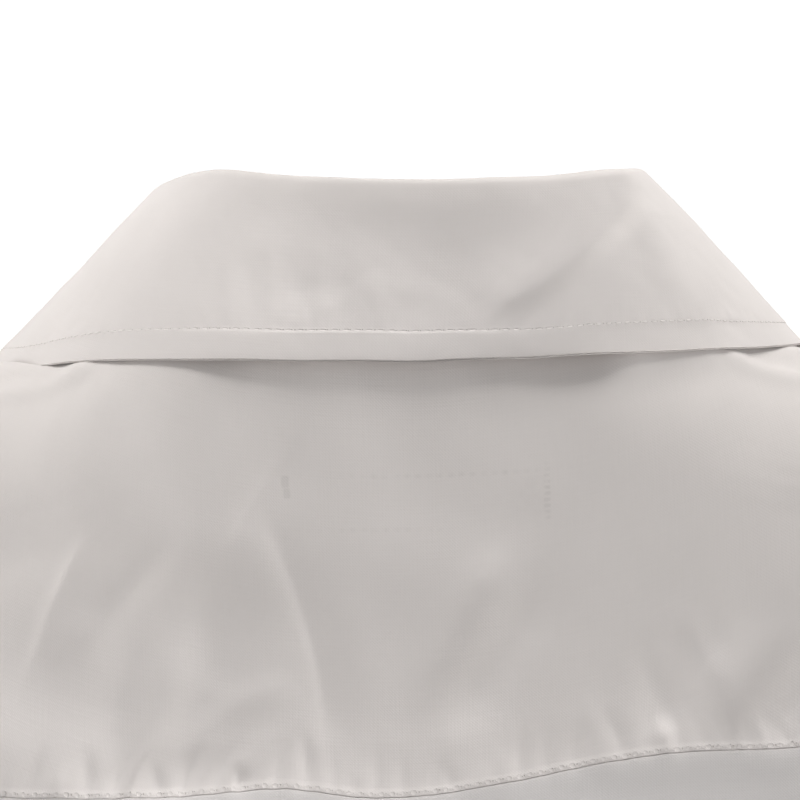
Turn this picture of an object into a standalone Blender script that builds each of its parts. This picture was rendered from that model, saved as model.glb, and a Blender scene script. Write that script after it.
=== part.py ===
"""A long-sleeved button-up shirt, hollow, filled out as on a general figure with its arms down.

Axes: +X is the wearer's left, +Y the back, +Z up. The origin is the middle of the neck, where the
shirt is held up. Every length is in metres and every angle in degrees. Each cut piece of cloth is
one object: a sheet of points on the shirt's form, given its thickness by a Solidify modifier.
"""
import math

import bmesh
import bpy
import numpy as np
from mathutils import Matrix, Vector

# ---- Driving sizes ---------------------------------------------------------------------------
CLOTH = 0.0012            # wall of a single panel
COLLAR_WALL = 0.0016      # leaf: two layers with an interlining
STAND_WALL = 0.0018
CUFF_WALL = 0.0020
SEAM_GAP = 0.0003         # between two pieces at a seam
HALF_GAP = SEAM_GAP / 2
YOKE_DRAW = 0.0004        # each side of the yoke's back seam, which turns over the shoulder
OVERLAP = 0.017           # each front, and each end of the stand, passes the centre by this
OVERLAP_LIFT = 0.0022     # how far the upper front stands off the lower one
LIFT_START = 0.042        # distance to the left of the centre where that lift starts
LIFT_FULL = 0.022         # and where it is whole
FRONT_BAND = (-OVERLAP, -0.0045, 0.0080, 0.0205, 0.0320, 0.0430)   # columns by the centre
CUFF_LENGTH = 0.065

# ---- The form that the cloth takes -----------------------------------------------------------
# One row for each level, from the neck seam to the hem. half_width is out to the side, back_depth
# and front_depth are to the back and the front, side_z, back_z and front_z are the heights there.
# A squareness of 2 is an ellipse. Level 2 is the point of the shoulder and the yoke's back seam.
# Level 2.3 carries the shoulder's slope on past the armhole, and level 4 is the armpit.
FORM_COLUMNS = ("level", "half_width", "back_depth", "front_depth",
                "side_z", "back_z", "front_z", "squareness")
FORM_ROWS = (
    (0.0, 0.062, 0.064, 0.068, -0.005, 0.022, -0.048, 2.00),
    (0.4, 0.090, 0.076, 0.075, -0.014, 0.004, -0.066, 2.05),
    (1.0, 0.140, 0.088, 0.086, -0.031, -0.028, -0.096, 2.15),
    (2.0, 0.218, 0.101, 0.104, -0.064, -0.078, -0.138, 2.35),
    (2.3, 0.234, 0.105, 0.109, -0.080, -0.098, -0.152, 2.35),
    (3.0, 0.220, 0.115, 0.119, -0.140, -0.150, -0.188, 2.35),
    (4.0, 0.194, 0.121, 0.129, -0.228, -0.230, -0.247, 2.30),
    (5.0, 0.185, 0.111, 0.122, -0.420, -0.425, -0.425, 2.25),
    (6.0, 0.191, 0.119, 0.124, -0.560, -0.585, -0.580, 2.25),
    (7.0, 0.195, 0.122, 0.126, -0.655, -0.735, -0.725, 2.25),
)
ARMPIT_LEVEL = 4.0
HEM_LEVEL = 7.0
BACK = 90.0               # angle of the centre back; the wearer's left side is 0
FRONT = -90.0             # angle of the centre front

# ---- Armhole: a loop on the form, its turn measured from the shoulder, backwards positive -----
ARMHOLE_MID_LEVEL = 3.0
ARMHOLE_ANGLE = -2.0
ARMHOLE_BACK_REACH = 31.0
ARMHOLE_FRONT_REACH = 33.0
YOKE_BACK_TURN = 50.0     # where the yoke's back seam meets the armhole
YOKE_FRONT_TURN = -26.0   # where its front seam does
YOKE_FRONT_NECK = -27.0   # angle on the neck seam where the front seam starts
YOKE_SEAM_LEVEL = 2.0
YOKE_CROWDING = 1.35      # draws the yoke's rows towards its outer edge, where it rounds over

# ---- Numbers of faces ------------------------------------------------------------------------
BACK_COLUMNS = 20
YOKE_ROWS = 6
YOKE_ARM_COLUMNS = 3
FRONT_COLUMNS = 13        # of each front, the last YOKE_ROWS of them along the yoke's seam
ARM_ROWS = 7              # of each panel, from the yoke's seam to the armpit
BODY_ROWS = 8             # of each panel, from the armpit to the hem
CAP_ROWS = 5
SLEEVE_ROWS = 7
CUFF_COLUMNS = 26
STAND_COLUMNS = 38
LEAF_COLUMNS = 40

# ---- Sleeve: an armhole loop led into rings along the arm -------------------------------------
UPPER_ARM = (0.2560, 0.0, -0.2540)     # middle of the first full ring
ARM_TILT = 11.0           # of the arm's line from upright
ARM_FORWARD = 0.05        # how far it leads forward for its length, and how much more it bends
ARM_BEND = 0.12
CAP_SLOPE = 34.0          # how steeply the cap leaves the shoulder
SLEEVE_TABLE_COLUMNS = ("along", "half_out", "half_deep")
SLEEVE_TABLE = (
    (0.000, 0.0510, 0.0690),
    (0.100, 0.0490, 0.0640),
    (0.200, 0.0460, 0.0570),
    (0.290, 0.0430, 0.0500),
    (0.345, 0.0370, 0.0415),
    (0.410, 0.0365, 0.0405),
)
SLEEVE_END = 0.345        # where the sleeve meets the cuff
CUFF_START_TURN = 40.0    # turn of the cuff's opening, towards the back
CUFF_LAP_TURN = 30.0      # how far its ends pass each other
CUFF_WIND_START = 250.0   # turn past the opening where the outer end starts to wind outwards
CUFF_ROWS = 2

# ---- Collar ----------------------------------------------------------------------------------
STAND_TOP = (0.0555, 0.0625, 0.0660, 0.0215, 0.0505, -0.0230, 2.15)   # a ring, like the form's rows
ROLL_RADIUS = 0.0019      # of the middle of the leaf's wall, where it turns over
ROLL_RISE = 0.0009        # how far it rises from the stand before it turns
ROLL_STEPS = 4
LEAF_FALL_ROWS = 4
LEAF_BULGE = 0.0022       # how far the leaf bows outwards between its fold and its edge
LEAF_END_ANGLE = 84.0     # of its front ends, either side, from the side line
# The leaf's outer edge: around is the place on the fold, from the centre back (0) to the front end
# (1). The edge lies over the form at form_angle (from the centre back) and form_level, lifted off.
LEAF_EDGE_COLUMNS = ("around", "form_angle", "form_level", "lift")
LEAF_EDGE = (
    (0.00, 0.0, 0.23, 0.0048),
    (0.04, 5.8, 0.23, 0.0048),
    (0.15, 22.0, 0.27, 0.0048),
    (0.30, 46.0, 0.36, 0.0042),
    (0.42, 66.0, 0.41, 0.0028),
    (0.55, 90.0, 0.43, 0.0020),
    (0.70, 113.0, 0.58, 0.0030),
    (0.86, 135.0, 0.92, 0.0036),
    (1.00, 149.0, 1.26, 0.0036),
)

# ---- Buttons ---------------------------------------------------------------------------------
BUTTON_COUNT = 7          # down the front, below the collar button
BUTTON_HEIGHTS = (-0.115, -0.640)      # of the first and the last
BUTTON_PROFILE = (        # radius and height, from the middle of the face round to the back
    (0.0000, 0.0016), (0.0034, 0.0016), (0.0042, 0.0022), (0.0050, 0.0022),
    (0.0055, 0.0014), (0.0046, 0.0000), (0.0000, 0.0000),
)
BUTTON_STEPS = 14
HOLE_COUNT = 4
HOLE_RADIUS = 0.0005
HOLE_CIRCLE = 0.0012
DRILL_LENGTH = 0.006

# ---- Label, inside the yoke ------------------------------------------------------------------
LABEL_WIDTH = 0.058
LABEL_LEVELS = (0.62, 0.84)
LABEL_WALL = 0.0010
LABEL_COLUMNS = 6
LABEL_ROWS = 2


def clear_scene():
    for item in list(bpy.data.objects):
        bpy.data.objects.remove(item, do_unlink=True)


def new_collection(name, hidden=False):
    collection = bpy.data.collections.new(name)
    bpy.context.scene.collection.children.link(collection)
    collection.hide_render = hidden
    return collection


def new_material(name, colour, roughness, metallic=0.0):
    material = bpy.data.materials.new(name)
    material.use_nodes = True
    shader = material.node_tree.nodes["Principled BSDF"]
    shader.inputs["Base Color"].default_value = (*colour, 1.0)
    shader.inputs["Roughness"].default_value = roughness
    shader.inputs["Metallic"].default_value = metallic
    return material


# ---- The form ---------------------------------------------------------------------------------
def column_values(rows, columns, name):
    return np.array([row[columns.index(name)] for row in rows], dtype=float)


def smooth(places, values, at):
    """A smooth curve through a table's column, read at one place or an array of them."""
    at = np.clip(np.asarray(at, dtype=float), places[0], places[-1])
    slopes = np.gradient(values, places)
    index = np.clip(np.searchsorted(places, at, side="right") - 1, 0, len(places) - 2)
    width = places[index + 1] - places[index]
    share = (at - places[index]) / width
    start = values[index] * (1 + 2 * share) * (1 - share) ** 2
    start = start + slopes[index] * width * share * (1 - share) ** 2
    end = values[index + 1] * share ** 2 * (3 - 2 * share)
    end = end - slopes[index + 1] * width * share ** 2 * (1 - share)
    return start + end


def table_reader(rows, columns):
    places = column_values(rows, columns, columns[0])
    stored = {name: column_values(rows, columns, name) for name in columns[1:]}
    return lambda name, at: smooth(places, stored[name], at)


read_form = table_reader(FORM_ROWS, FORM_COLUMNS)
read_sleeve = table_reader(SLEEVE_TABLE, SLEEVE_TABLE_COLUMNS)
read_leaf_edge = table_reader(LEAF_EDGE, LEAF_EDGE_COLUMNS)


def ring_point(angle, half_width, back_depth, front_depth, side_z, back_z, front_z, squareness):
    """The point at an angle on one closed level row."""
    cosine = np.cos(np.radians(angle))
    sine = np.sin(np.radians(angle))
    reach = np.abs(cosine) ** squareness + np.abs(sine) ** squareness
    reach = reach ** (-1.0 / squareness)
    depth = np.where(sine > 0, back_depth, front_depth)
    lean = (back_z - front_z) / 2
    sag = (back_z + front_z) / 2 - side_z
    height = side_z + lean * sine + sag * sine ** 2
    return np.stack([half_width * reach * cosine, depth * reach * sine, height], axis=-1)


def form_point(angle, level):
    angle, level = np.broadcast_arrays(np.asarray(angle, float), np.asarray(level, float))
    return ring_point(angle, *[read_form(name, level) for name in FORM_COLUMNS[1:]])


def form_normal(angle, level, step=0.01):
    """The outward direction of the form, from its slopes around and down it."""
    around = form_point(angle + 50 * step, level) - form_point(angle - 50 * step, level)
    down = form_point(angle, np.asarray(level) + step)
    down = down - form_point(angle, np.maximum(np.asarray(level) - step, 0.0))
    normal = np.cross(down, around)
    return normal / np.linalg.norm(normal, axis=-1, keepdims=True)


def armhole(turn):
    """Angle and level of the armhole's loop on the wearer's left side."""
    turn = np.asarray(turn, dtype=float)
    side = np.sin(np.radians(turn))
    reach = np.where(side > 0, ARMHOLE_BACK_REACH, ARMHOLE_FRONT_REACH)
    return ARMHOLE_ANGLE + reach * side, ARMHOLE_MID_LEVEL - np.cos(np.radians(turn))


YOKE_TURNS = np.linspace(YOKE_FRONT_TURN, YOKE_BACK_TURN, YOKE_ARM_COLUMNS + 1)
BACK_TURNS = np.linspace(YOKE_BACK_TURN, 180.0, ARM_ROWS + 1)
FRONT_TURNS = np.linspace(YOKE_FRONT_TURN, -180.0, ARM_ROWS + 1)
BODY_LEVELS = np.linspace(ARMPIT_LEVEL, HEM_LEVEL, BODY_ROWS + 1)
YOKE_DOWN = 1.0 - (1.0 - np.linspace(0.0, 1.0, YOKE_ROWS + 1)) ** YOKE_CROWDING


def yoke_back_seam():
    """Angles and levels of the seam across the back, from the left armhole to the right one."""
    share = np.linspace(0.0, 1.0, BACK_COLUMNS + 1)
    first_angle, first_level = armhole(YOKE_BACK_TURN)
    angles = first_angle + (180.0 - 2 * first_angle) * share
    outward = np.abs(2 * share - 1)
    return angles, YOKE_SEAM_LEVEL + (first_level - YOKE_SEAM_LEVEL) * outward ** 4


def lap_angle(level, reach):
    """The angle on a level at which the front lies a distance past its centre."""
    return np.degrees(np.arcsin(reach / read_form("half_width", level)))


# ---- Sheets of points ---------------------------------------------------------------------------
def pull_in(grid, first_row=0.0, last_row=0.0, first_column=0.0, last_column=0.0):
    """Draw the edges of a grid back along its surface, each by the distance given."""
    def drawn(edge, inner, distance):
        step = inner - edge
        return edge + step / np.linalg.norm(step, axis=-1, keepdims=True) * distance

    grid = grid.copy()
    grid[0] = drawn(grid[0], grid[1], first_row)
    grid[-1] = drawn(grid[-1], grid[-2], last_row)
    grid[:, 0] = drawn(grid[:, 0], grid[:, 1], first_column)
    grid[:, -1] = drawn(grid[:, -1], grid[:, -2], last_column)
    return grid


def mirrored(grid):
    """The grid of the other side, with its columns turned round so that it still faces out."""
    return grid[:, ::-1] * np.array([-1.0, 1.0, 1.0])


def sheet_object(name, grid, wall, material, closed=False, centred=False):
    """One piece of cloth: quads between the grid's points, and a wall on their inner side."""
    rows, columns = grid.shape[:2]
    mesh_data = bmesh.new()
    points = [[mesh_data.verts.new(point) for point in row] for row in grid]
    spans = columns if closed else columns - 1
    for row in range(rows - 1):
        for column in range(spans):
            after = (column + 1) % columns
            mesh_data.faces.new((points[row][column], points[row + 1][column],
                                 points[row + 1][after], points[row][after]))
    mesh = bpy.data.meshes.new(name)
    mesh_data.to_mesh(mesh)
    mesh_data.free()
    mesh.shade_smooth()
    mesh.materials.append(material)
    sheet = bpy.data.objects.new(name, mesh)
    SHIRT.objects.link(sheet)
    solidify = sheet.modifiers.new("wall", "SOLIDIFY")
    solidify.thickness = wall
    solidify.offset = 0.0 if centred else -1.0
    solidify.use_even_offset = True
    return sheet


# ---- Body panels --------------------------------------------------------------------------------
def yoke_grid():
    """From the neck seam (first row) out to the armholes and the back seam (last row)."""
    arm_angles, arm_levels = armhole(YOKE_TURNS)
    seam_angles, seam_levels = yoke_back_seam()
    outer_angles = np.concatenate([arm_angles[:-1], seam_angles, 180.0 - arm_angles[-2::-1]])
    outer_levels = np.concatenate([arm_levels[:-1], seam_levels, arm_levels[-2::-1]])
    share = (outer_angles - outer_angles[0]) / (outer_angles[-1] - outer_angles[0])
    neck_angles = YOKE_FRONT_NECK + (180.0 - 2 * YOKE_FRONT_NECK) * share
    down = YOKE_DOWN[:, None]
    angles = neck_angles + (outer_angles - neck_angles) * down
    return form_point(angles, outer_levels * down)


def back_grid():
    """From the yoke's seam (first row) down to the hem, between the armholes and side seams."""
    seam_angles, seam_levels = yoke_back_seam()
    share = np.linspace(0.0, 1.0, BACK_COLUMNS + 1)
    edge_angles, edge_levels = armhole(BACK_TURNS)
    down = (edge_levels - edge_levels[0]) / (ARMPIT_LEVEL - edge_levels[0])
    arm_levels = seam_levels + (ARMPIT_LEVEL - seam_levels) * down[:, None]
    arm_angles = edge_angles[:, None] + (180.0 - 2 * edge_angles[:, None]) * share
    body_levels = np.repeat(BODY_LEVELS[1:, None], BACK_COLUMNS + 1, axis=1)
    body_angles = np.repeat(arm_angles[-1:], BODY_ROWS, axis=0)
    return form_point(np.vstack([arm_angles, body_angles]), np.vstack([arm_levels, body_levels]))


def front_grid(lift):
    """The left front, from its centre edge (first column) round to the armhole and side seam."""
    band = np.array(FRONT_BAND)
    seam_angle, seam_level = armhole(YOKE_FRONT_TURN)
    seam_angles = YOKE_FRONT_NECK + (seam_angle - YOKE_FRONT_NECK) * YOKE_DOWN
    neck_columns = FRONT_COLUMNS - YOKE_ROWS - len(band) + 1
    neck_start = FRONT + lap_angle(0.0, band[-1])
    neck_angles = np.linspace(neck_start, YOKE_FRONT_NECK, neck_columns + 1)
    top_angles = np.concatenate([neck_angles, seam_angles[1:]])
    top_levels = np.concatenate([0.0 * band[:-1], 0.0 * neck_angles, seam_level * YOKE_DOWN[1:]])
    top_share = (top_angles - top_angles[0]) / (top_angles[-1] - top_angles[0])
    even_share = np.linspace(0.0, 1.0, len(top_angles))
    edge_angles, edge_levels = armhole(FRONT_TURNS)
    downs = (edge_levels - edge_levels[0]) / (ARMPIT_LEVEL - edge_levels[0])
    rows = []
    for down, edge_angle in zip(downs, edge_angles):
        share = top_share + (even_share - top_share) * down ** 0.5
        levels = top_levels + (ARMPIT_LEVEL - top_levels) * down
        rows.append((front_row(levels, share, edge_angle), levels))
    for level in BODY_LEVELS[1:]:
        levels = np.full(FRONT_COLUMNS + 1, level)
        rows.append((front_row(levels, even_share, edge_angles[-1]), levels))
    angles, levels = (np.array(part) for part in zip(*rows))
    points = form_point(angles, levels)
    return points + lap_share(points[..., 0:1]) * lift * form_normal(angles, levels)


def front_row(levels, share, edge_angle):
    """Angles across one row: the band's columns, then those out to the edge."""
    band = np.array(FRONT_BAND)
    band_angles = FRONT + lap_angle(levels[:len(band)], band)
    return np.concatenate([band_angles[:-1], band_angles[-1] + (edge_angle - band_angles[-1]) * share])


def lap_share(x):
    """How much of the overlap's lift a point has."""
    share = np.clip((LIFT_START - x) / (LIFT_START - LIFT_FULL), 0.0, 1.0)
    return share * share * (3 - 2 * share)


def add_body(material):
    yoke = pull_in(yoke_grid(), HALF_GAP, YOKE_DRAW, SEAM_GAP, SEAM_GAP)
    sheet_object("yoke", yoke, CLOTH, material)
    back = pull_in(back_grid(), YOKE_DRAW, 0.0, HALF_GAP, HALF_GAP)
    sheet_object("back", back, CLOTH, material)
    left = pull_in(front_grid(OVERLAP_LIFT), HALF_GAP, 0.0, 0.0, HALF_GAP)
    sheet_object("front_left", left, CLOTH, material)
    right = pull_in(front_grid(0.0), HALF_GAP, 0.0, 0.0, HALF_GAP)
    sheet_object("front_right", mirrored(right), CLOTH, material)


# ---- Sleeves and cuffs --------------------------------------------------------------------------
def arm_frame(along):
    """Middle of the arm's ring at a distance along it, its outward direction and its line."""
    tilt = math.radians(ARM_TILT)
    middle = np.array(UPPER_ARM) + along * np.array([math.sin(tilt), -ARM_FORWARD, -math.cos(tilt)])
    middle[1] -= ARM_BEND * along ** 2
    outward = np.array([math.cos(tilt), 0.0, math.sin(tilt)])
    line = np.array([math.sin(tilt), -ARM_FORWARD - 2 * ARM_BEND * along, -math.cos(tilt)])
    return middle, outward, line / np.linalg.norm(line)


def arm_ring(along, turns, swell=0.0):
    """Points round the arm: turn 0 is the outer side, 90 the back, 180 the side by the body."""
    middle, outward, line = arm_frame(along)
    backward = np.cross(outward, line)
    backward = backward * np.sign(backward[1])
    half_out = read_sleeve("half_out", along) + swell
    half_deep = read_sleeve("half_deep", along) + swell
    radians = np.radians(turns)
    out_part = (half_out * np.cos(radians))[..., None] * outward
    return middle + out_part + (half_deep * np.sin(radians))[..., None] * backward


def armhole_turns():
    """The turns of the armhole's points, once round, shared with the panels that end there."""
    front_down = FRONT_TURNS[1:] + 360.0
    return np.concatenate([YOKE_TURNS[:-1], BACK_TURNS, front_down[-2::-1]])


def sleeve_grid():
    turns = armhole_turns()
    start = form_point(*armhole(turns))
    end = arm_ring(0.0, turns)
    slope = math.radians(CAP_SLOPE)
    leave = np.array([math.cos(slope), 0.0, -math.sin(slope)])
    line = arm_frame(0.0)[2]
    length = np.linalg.norm(end - start, axis=1)[:, None]
    rows = []
    for share in np.linspace(0.0, 1.0, CAP_ROWS + 1):
        row = start * (1 + 2 * share) * (1 - share) ** 2 + end * share ** 2 * (3 - 2 * share)
        row = row + leave * length * share * (1 - share) ** 2
        rows.append(row - line * length * share ** 2 * (1 - share))
    for along in np.linspace(0.0, SLEEVE_END, SLEEVE_ROWS + 1)[1:]:
        rows.append(arm_ring(along, turns))
    return np.array(rows)


def cuff_grid():
    """A band with overlapping ends: the outer end winds out over the inner one."""
    turns = np.linspace(0.0, 360.0 + CUFF_LAP_TURN, CUFF_COLUMNS + 1)
    wound = np.clip((turns - CUFF_WIND_START) / (360.0 - CUFF_WIND_START), 0.0, 1.0)
    swell = (CUFF_WALL + SEAM_GAP) * wound * wound * (3 - 2 * wound)
    alongs = np.linspace(SLEEVE_END + SEAM_GAP, SLEEVE_END + CUFF_LENGTH, CUFF_ROWS + 1)
    return np.array([arm_ring(along, CUFF_START_TURN + turns, swell) for along in alongs])


def add_arms(material):
    sleeve = pull_in(sleeve_grid(), first_row=HALF_GAP)
    sheet_object("sleeve_left", sleeve, CLOTH, material, closed=True)
    sheet_object("sleeve_right", mirrored(sleeve), CLOTH, material, closed=True)
    cuff = cuff_grid()
    sheet_object("cuff_left", cuff, CUFF_WALL, material)
    sheet_object("cuff_right", mirrored(cuff), CUFF_WALL, material)


# ---- Collar -------------------------------------------------------------------------------------
def plan_outward(angles):
    return np.stack([np.cos(np.radians(angles)), np.sin(np.radians(angles)), 0 * angles], axis=-1)


def lapped(angles, points, outward):
    """Lift the left front end of the collar over the right one."""
    left = (angles < 0)[..., None] * lap_share(points[..., 0:1])
    return points + left * OVERLAP_LIFT * outward


def stand_points(angles, share):
    """Outer face of the stand, from the neck seam (0) to its top (1)."""
    neck = lapped(angles, form_point(angles, 0.0), form_normal(angles, 0.0))
    top = lapped(angles, ring_point(angles, *STAND_TOP), plan_outward(angles))
    return neck + (top - neck) * share


def stand_grid():
    first = FRONT - lap_angle(0.0, OVERLAP)
    last = 360.0 + FRONT + lap_angle(0.0, OVERLAP)
    angles = np.linspace(first, last, STAND_COLUMNS + 1)
    grid = np.array([stand_points(angles, share) for share in np.linspace(1.0, 0.0, 4)])
    return pull_in(grid, last_row=SEAM_GAP)


def leaf_grid():
    """From its seam on the stand, over the fold, down to its outer edge."""
    around = np.linspace(-1.0, 1.0, LEAF_COLUMNS + 1)
    angles = BACK + around * (90.0 + LEAF_END_ANGLE)
    outward = plan_outward(angles)
    up = np.array([0.0, 0.0, 1.0])
    seat = stand_points(angles, 1.0) - outward * STAND_WALL / 2 + up * SEAM_GAP
    rows = [seat]
    turn_middle = seat + outward * ROLL_RADIUS + up * ROLL_RISE
    for bend in np.linspace(180.0, 0.0, ROLL_STEPS + 1):
        turned = math.cos(math.radians(bend)) * outward + math.sin(math.radians(bend)) * up
        rows.append(turn_middle + turned * ROLL_RADIUS)
    place = np.abs(around)
    edge_angles = BACK + np.sign(around) * read_leaf_edge("form_angle", place)
    edge_levels = read_leaf_edge("form_level", place)
    edge = form_point(edge_angles, edge_levels)
    edge = edge + form_normal(edge_angles, edge_levels) * read_leaf_edge("lift", place)[:, None]
    top = rows[-1]
    for share in np.linspace(0.0, 1.0, LEAF_FALL_ROWS + 1)[1:]:
        bow = 4 * share * (1 - share) * LEAF_BULGE
        rows.append(top + (edge - top) * share + outward * bow)
    return np.array(rows)


def add_collar(material):
    sheet_object("collar_stand", stand_grid(), STAND_WALL, material)
    sheet_object("collar_leaf", leaf_grid(), COLLAR_WALL, material, centred=True)


def add_label(material):
    across = np.linspace(LABEL_WIDTH / 2, -LABEL_WIDTH / 2, LABEL_COLUMNS + 1)
    rows = []
    for level in np.linspace(*LABEL_LEVELS, LABEL_ROWS + 1):
        angles = BACK - lap_angle(level, across)
        inside = CLOTH + 3 * SEAM_GAP
        rows.append(form_point(angles, level) - form_normal(angles, level) * inside)
    sheet_object("label", np.array(rows), LABEL_WALL, material)


# ---- Buttons ------------------------------------------------------------------------------------
def button_blank():
    """The solid disc: its profile turned about its axis."""
    outline = bmesh.new()
    points = [outline.verts.new((radius, 0.0, height)) for radius, height in BUTTON_PROFILE]
    for first, second in zip(points, points[1:]):
        outline.edges.new((first, second))
    mesh = bpy.data.meshes.new("button_blank")
    outline.to_mesh(mesh)
    outline.free()
    blank = bpy.data.objects.new("button_blank", mesh)
    CUTTERS.objects.link(blank)
    screw = blank.modifiers.new("turned", "SCREW")
    screw.steps = BUTTON_STEPS
    screw.render_steps = BUTTON_STEPS
    screw.use_merge_vertices = True
    screw.merge_threshold = 0.00005
    return blank


def button_drill():
    """One cutter for all the thread holes."""
    drill = bmesh.new()
    for index in range(HOLE_COUNT):
        turn = math.radians(360.0 * (index + 0.5) / HOLE_COUNT)
        place = Vector((math.cos(turn), math.sin(turn), 0.0)) * HOLE_CIRCLE
        bmesh.ops.create_cone(drill, cap_ends=True, segments=6, radius1=HOLE_RADIUS,
                              radius2=HOLE_RADIUS, depth=DRILL_LENGTH,
                              matrix=Matrix.Translation(place))
    mesh = bpy.data.meshes.new("button_drill")
    drill.to_mesh(mesh)
    drill.free()
    cutter = bpy.data.objects.new("button_drill", mesh)
    CUTTERS.objects.link(cutter)
    cutter.display_type = "WIRE"
    cutter.hide_render = True
    return cutter


def button_mesh(material):
    """A dished disc with a raised rim and four thread holes, its back on z = 0."""
    blank = button_blank()
    drill = button_drill()
    cut = blank.modifiers.new("thread_holes", "BOOLEAN")
    cut.operation = "DIFFERENCE"
    cut.object = drill
    graph = bpy.context.evaluated_depsgraph_get()
    finished = bpy.data.meshes.new_from_object(blank.evaluated_get(graph))
    finished.name = "button"
    finished.materials.clear()
    finished.materials.append(material)
    for helper in (blank, drill):
        bpy.data.objects.remove(helper, do_unlink=True)
    return finished


def add_button(name, mesh, point, normal):
    """Seat a button on a face, its back towards the cloth."""
    button = bpy.data.objects.new(name, mesh)
    turn = Vector(normal).to_track_quat("Z", "Y")
    button.matrix_world = Matrix.Translation(Vector(point)) @ turn.to_matrix().to_4x4()
    SHIRT.objects.link(button)


def front_button_seats():
    """Places and directions down the centre of the upper front, evenly spaced in height."""
    levels = np.linspace(0.0, HEM_LEVEL, 701)
    depths = -form_point(FRONT, levels)[:, 2]
    for height in np.linspace(*BUTTON_HEIGHTS, BUTTON_COUNT):
        level = float(np.interp(-height, depths, levels))
        normal = form_normal(FRONT, level)
        yield form_point(FRONT, level) + normal * (OVERLAP_LIFT + 2 * SEAM_GAP), normal


def collar_button_seat():
    low = stand_points(np.array([FRONT]), 0.35)[0]
    high = stand_points(np.array([FRONT]), 0.65)[0]
    normal = np.cross(high - low, np.array([-1.0, 0.0, 0.0]))
    normal = normal / np.linalg.norm(normal)
    if normal[1] > 0:
        normal = -normal
    return (low + high) / 2 + normal * SEAM_GAP, normal


def cuff_button_seat():
    """In the middle of the left cuff's overlap."""
    place = SLEEVE_END + CUFF_LENGTH / 2
    turn = np.array([CUFF_START_TURN + CUFF_LAP_TURN / 2])
    point = arm_ring(place, turn, CUFF_WALL + SEAM_GAP)[0]
    normal = point - arm_frame(place)[0]
    normal = normal / np.linalg.norm(normal)
    return point + normal * 2 * SEAM_GAP, normal


def add_buttons(material):
    mesh = button_mesh(material)
    for index, (point, normal) in enumerate(front_button_seats()):
        add_button(f"button_front_{index + 1}", mesh, point, normal)
    add_button("button_collar", mesh, *collar_button_seat())
    point, normal = cuff_button_seat()
    other_side = np.array([-1.0, 1.0, 1.0])
    add_button("button_cuff_left", mesh, point, normal)
    add_button("button_cuff_right", mesh, point * other_side, normal * other_side)


clear_scene()
SHIRT = new_collection("shirt")
CUTTERS = new_collection("cutters", hidden=True)
POPLIN = new_material("white_poplin", (0.80, 0.785, 0.77), 0.75)
COLLAR_CLOTH = new_material("collar_poplin", (0.82, 0.805, 0.79), 0.72)
LABEL_CLOTH = new_material("label_tape", (0.78, 0.77, 0.76), 0.65)
PEARL = new_material("button_pearl", (0.86, 0.85, 0.82), 0.25)
add_body(POPLIN)
add_arms(POPLIN)
add_collar(COLLAR_CLOTH)
add_label(LABEL_CLOTH)
add_buttons(PEARL)
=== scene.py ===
# %% [markdown]
# # A white button-up shirt, sewn piece by piece
#
# This lesson builds the looks of a man's poplin shirt around a imported frame that already has its
# size and weight. A shirt is flat pieces of cloth, sewn edge to edge to go round a body, so each of
# the eleven is one sheet here too: a grid of points on a common form, pushed in and out by creases,
# then given the thickness of cloth. The stitches, the turned hems and the thread in the buttons are
# real little shapes, and the holes that the needle left are small dark shapes of painted shade. The
# weave and the sheen are in the materials. Axes: +X is the wearer's left, +Y the back, +Z up. The
# origin is the middle of the neck.

# %% Load the frame
import math
from functools import partialmethod

import bmesh
import bpy
import numpy as np
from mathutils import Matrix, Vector
from mathutils.bvhtree import BVHTree


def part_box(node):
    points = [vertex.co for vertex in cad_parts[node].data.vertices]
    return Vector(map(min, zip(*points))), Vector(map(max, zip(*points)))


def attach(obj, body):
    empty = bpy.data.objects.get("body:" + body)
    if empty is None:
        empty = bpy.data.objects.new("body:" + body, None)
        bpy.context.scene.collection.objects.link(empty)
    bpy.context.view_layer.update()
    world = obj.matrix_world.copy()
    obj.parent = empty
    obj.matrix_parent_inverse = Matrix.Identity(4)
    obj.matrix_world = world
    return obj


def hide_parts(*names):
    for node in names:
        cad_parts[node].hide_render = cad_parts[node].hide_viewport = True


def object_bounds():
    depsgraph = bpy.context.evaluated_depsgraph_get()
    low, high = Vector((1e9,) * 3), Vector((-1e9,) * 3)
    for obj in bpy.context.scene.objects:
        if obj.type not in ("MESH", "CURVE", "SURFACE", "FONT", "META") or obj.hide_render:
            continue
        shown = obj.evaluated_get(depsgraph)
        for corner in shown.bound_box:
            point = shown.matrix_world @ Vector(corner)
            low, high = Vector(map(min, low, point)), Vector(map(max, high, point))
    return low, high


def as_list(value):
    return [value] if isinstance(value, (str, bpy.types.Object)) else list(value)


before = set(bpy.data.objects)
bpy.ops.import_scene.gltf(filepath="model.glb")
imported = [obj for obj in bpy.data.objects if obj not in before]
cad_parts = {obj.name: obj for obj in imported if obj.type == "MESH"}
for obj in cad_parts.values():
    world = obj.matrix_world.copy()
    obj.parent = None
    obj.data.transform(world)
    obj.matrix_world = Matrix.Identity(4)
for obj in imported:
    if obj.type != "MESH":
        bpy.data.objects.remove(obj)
cad_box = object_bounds()
MM = 0.001
print("frame loaded:", len(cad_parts), "pieces, box from", cad_box[0], "to", cad_box[1])

# %% [markdown]
# ## Camera
#
# A close look at the back of the collar, from behind, a little to the wearer's left and from
# above. A long lens keeps the collar's width and the yoke's depth in proportion, as a photographer
# of clothes would have it. How high it aims is worked out from the collar's own box, so it follows
# the frame and not a fixed number.

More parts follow.
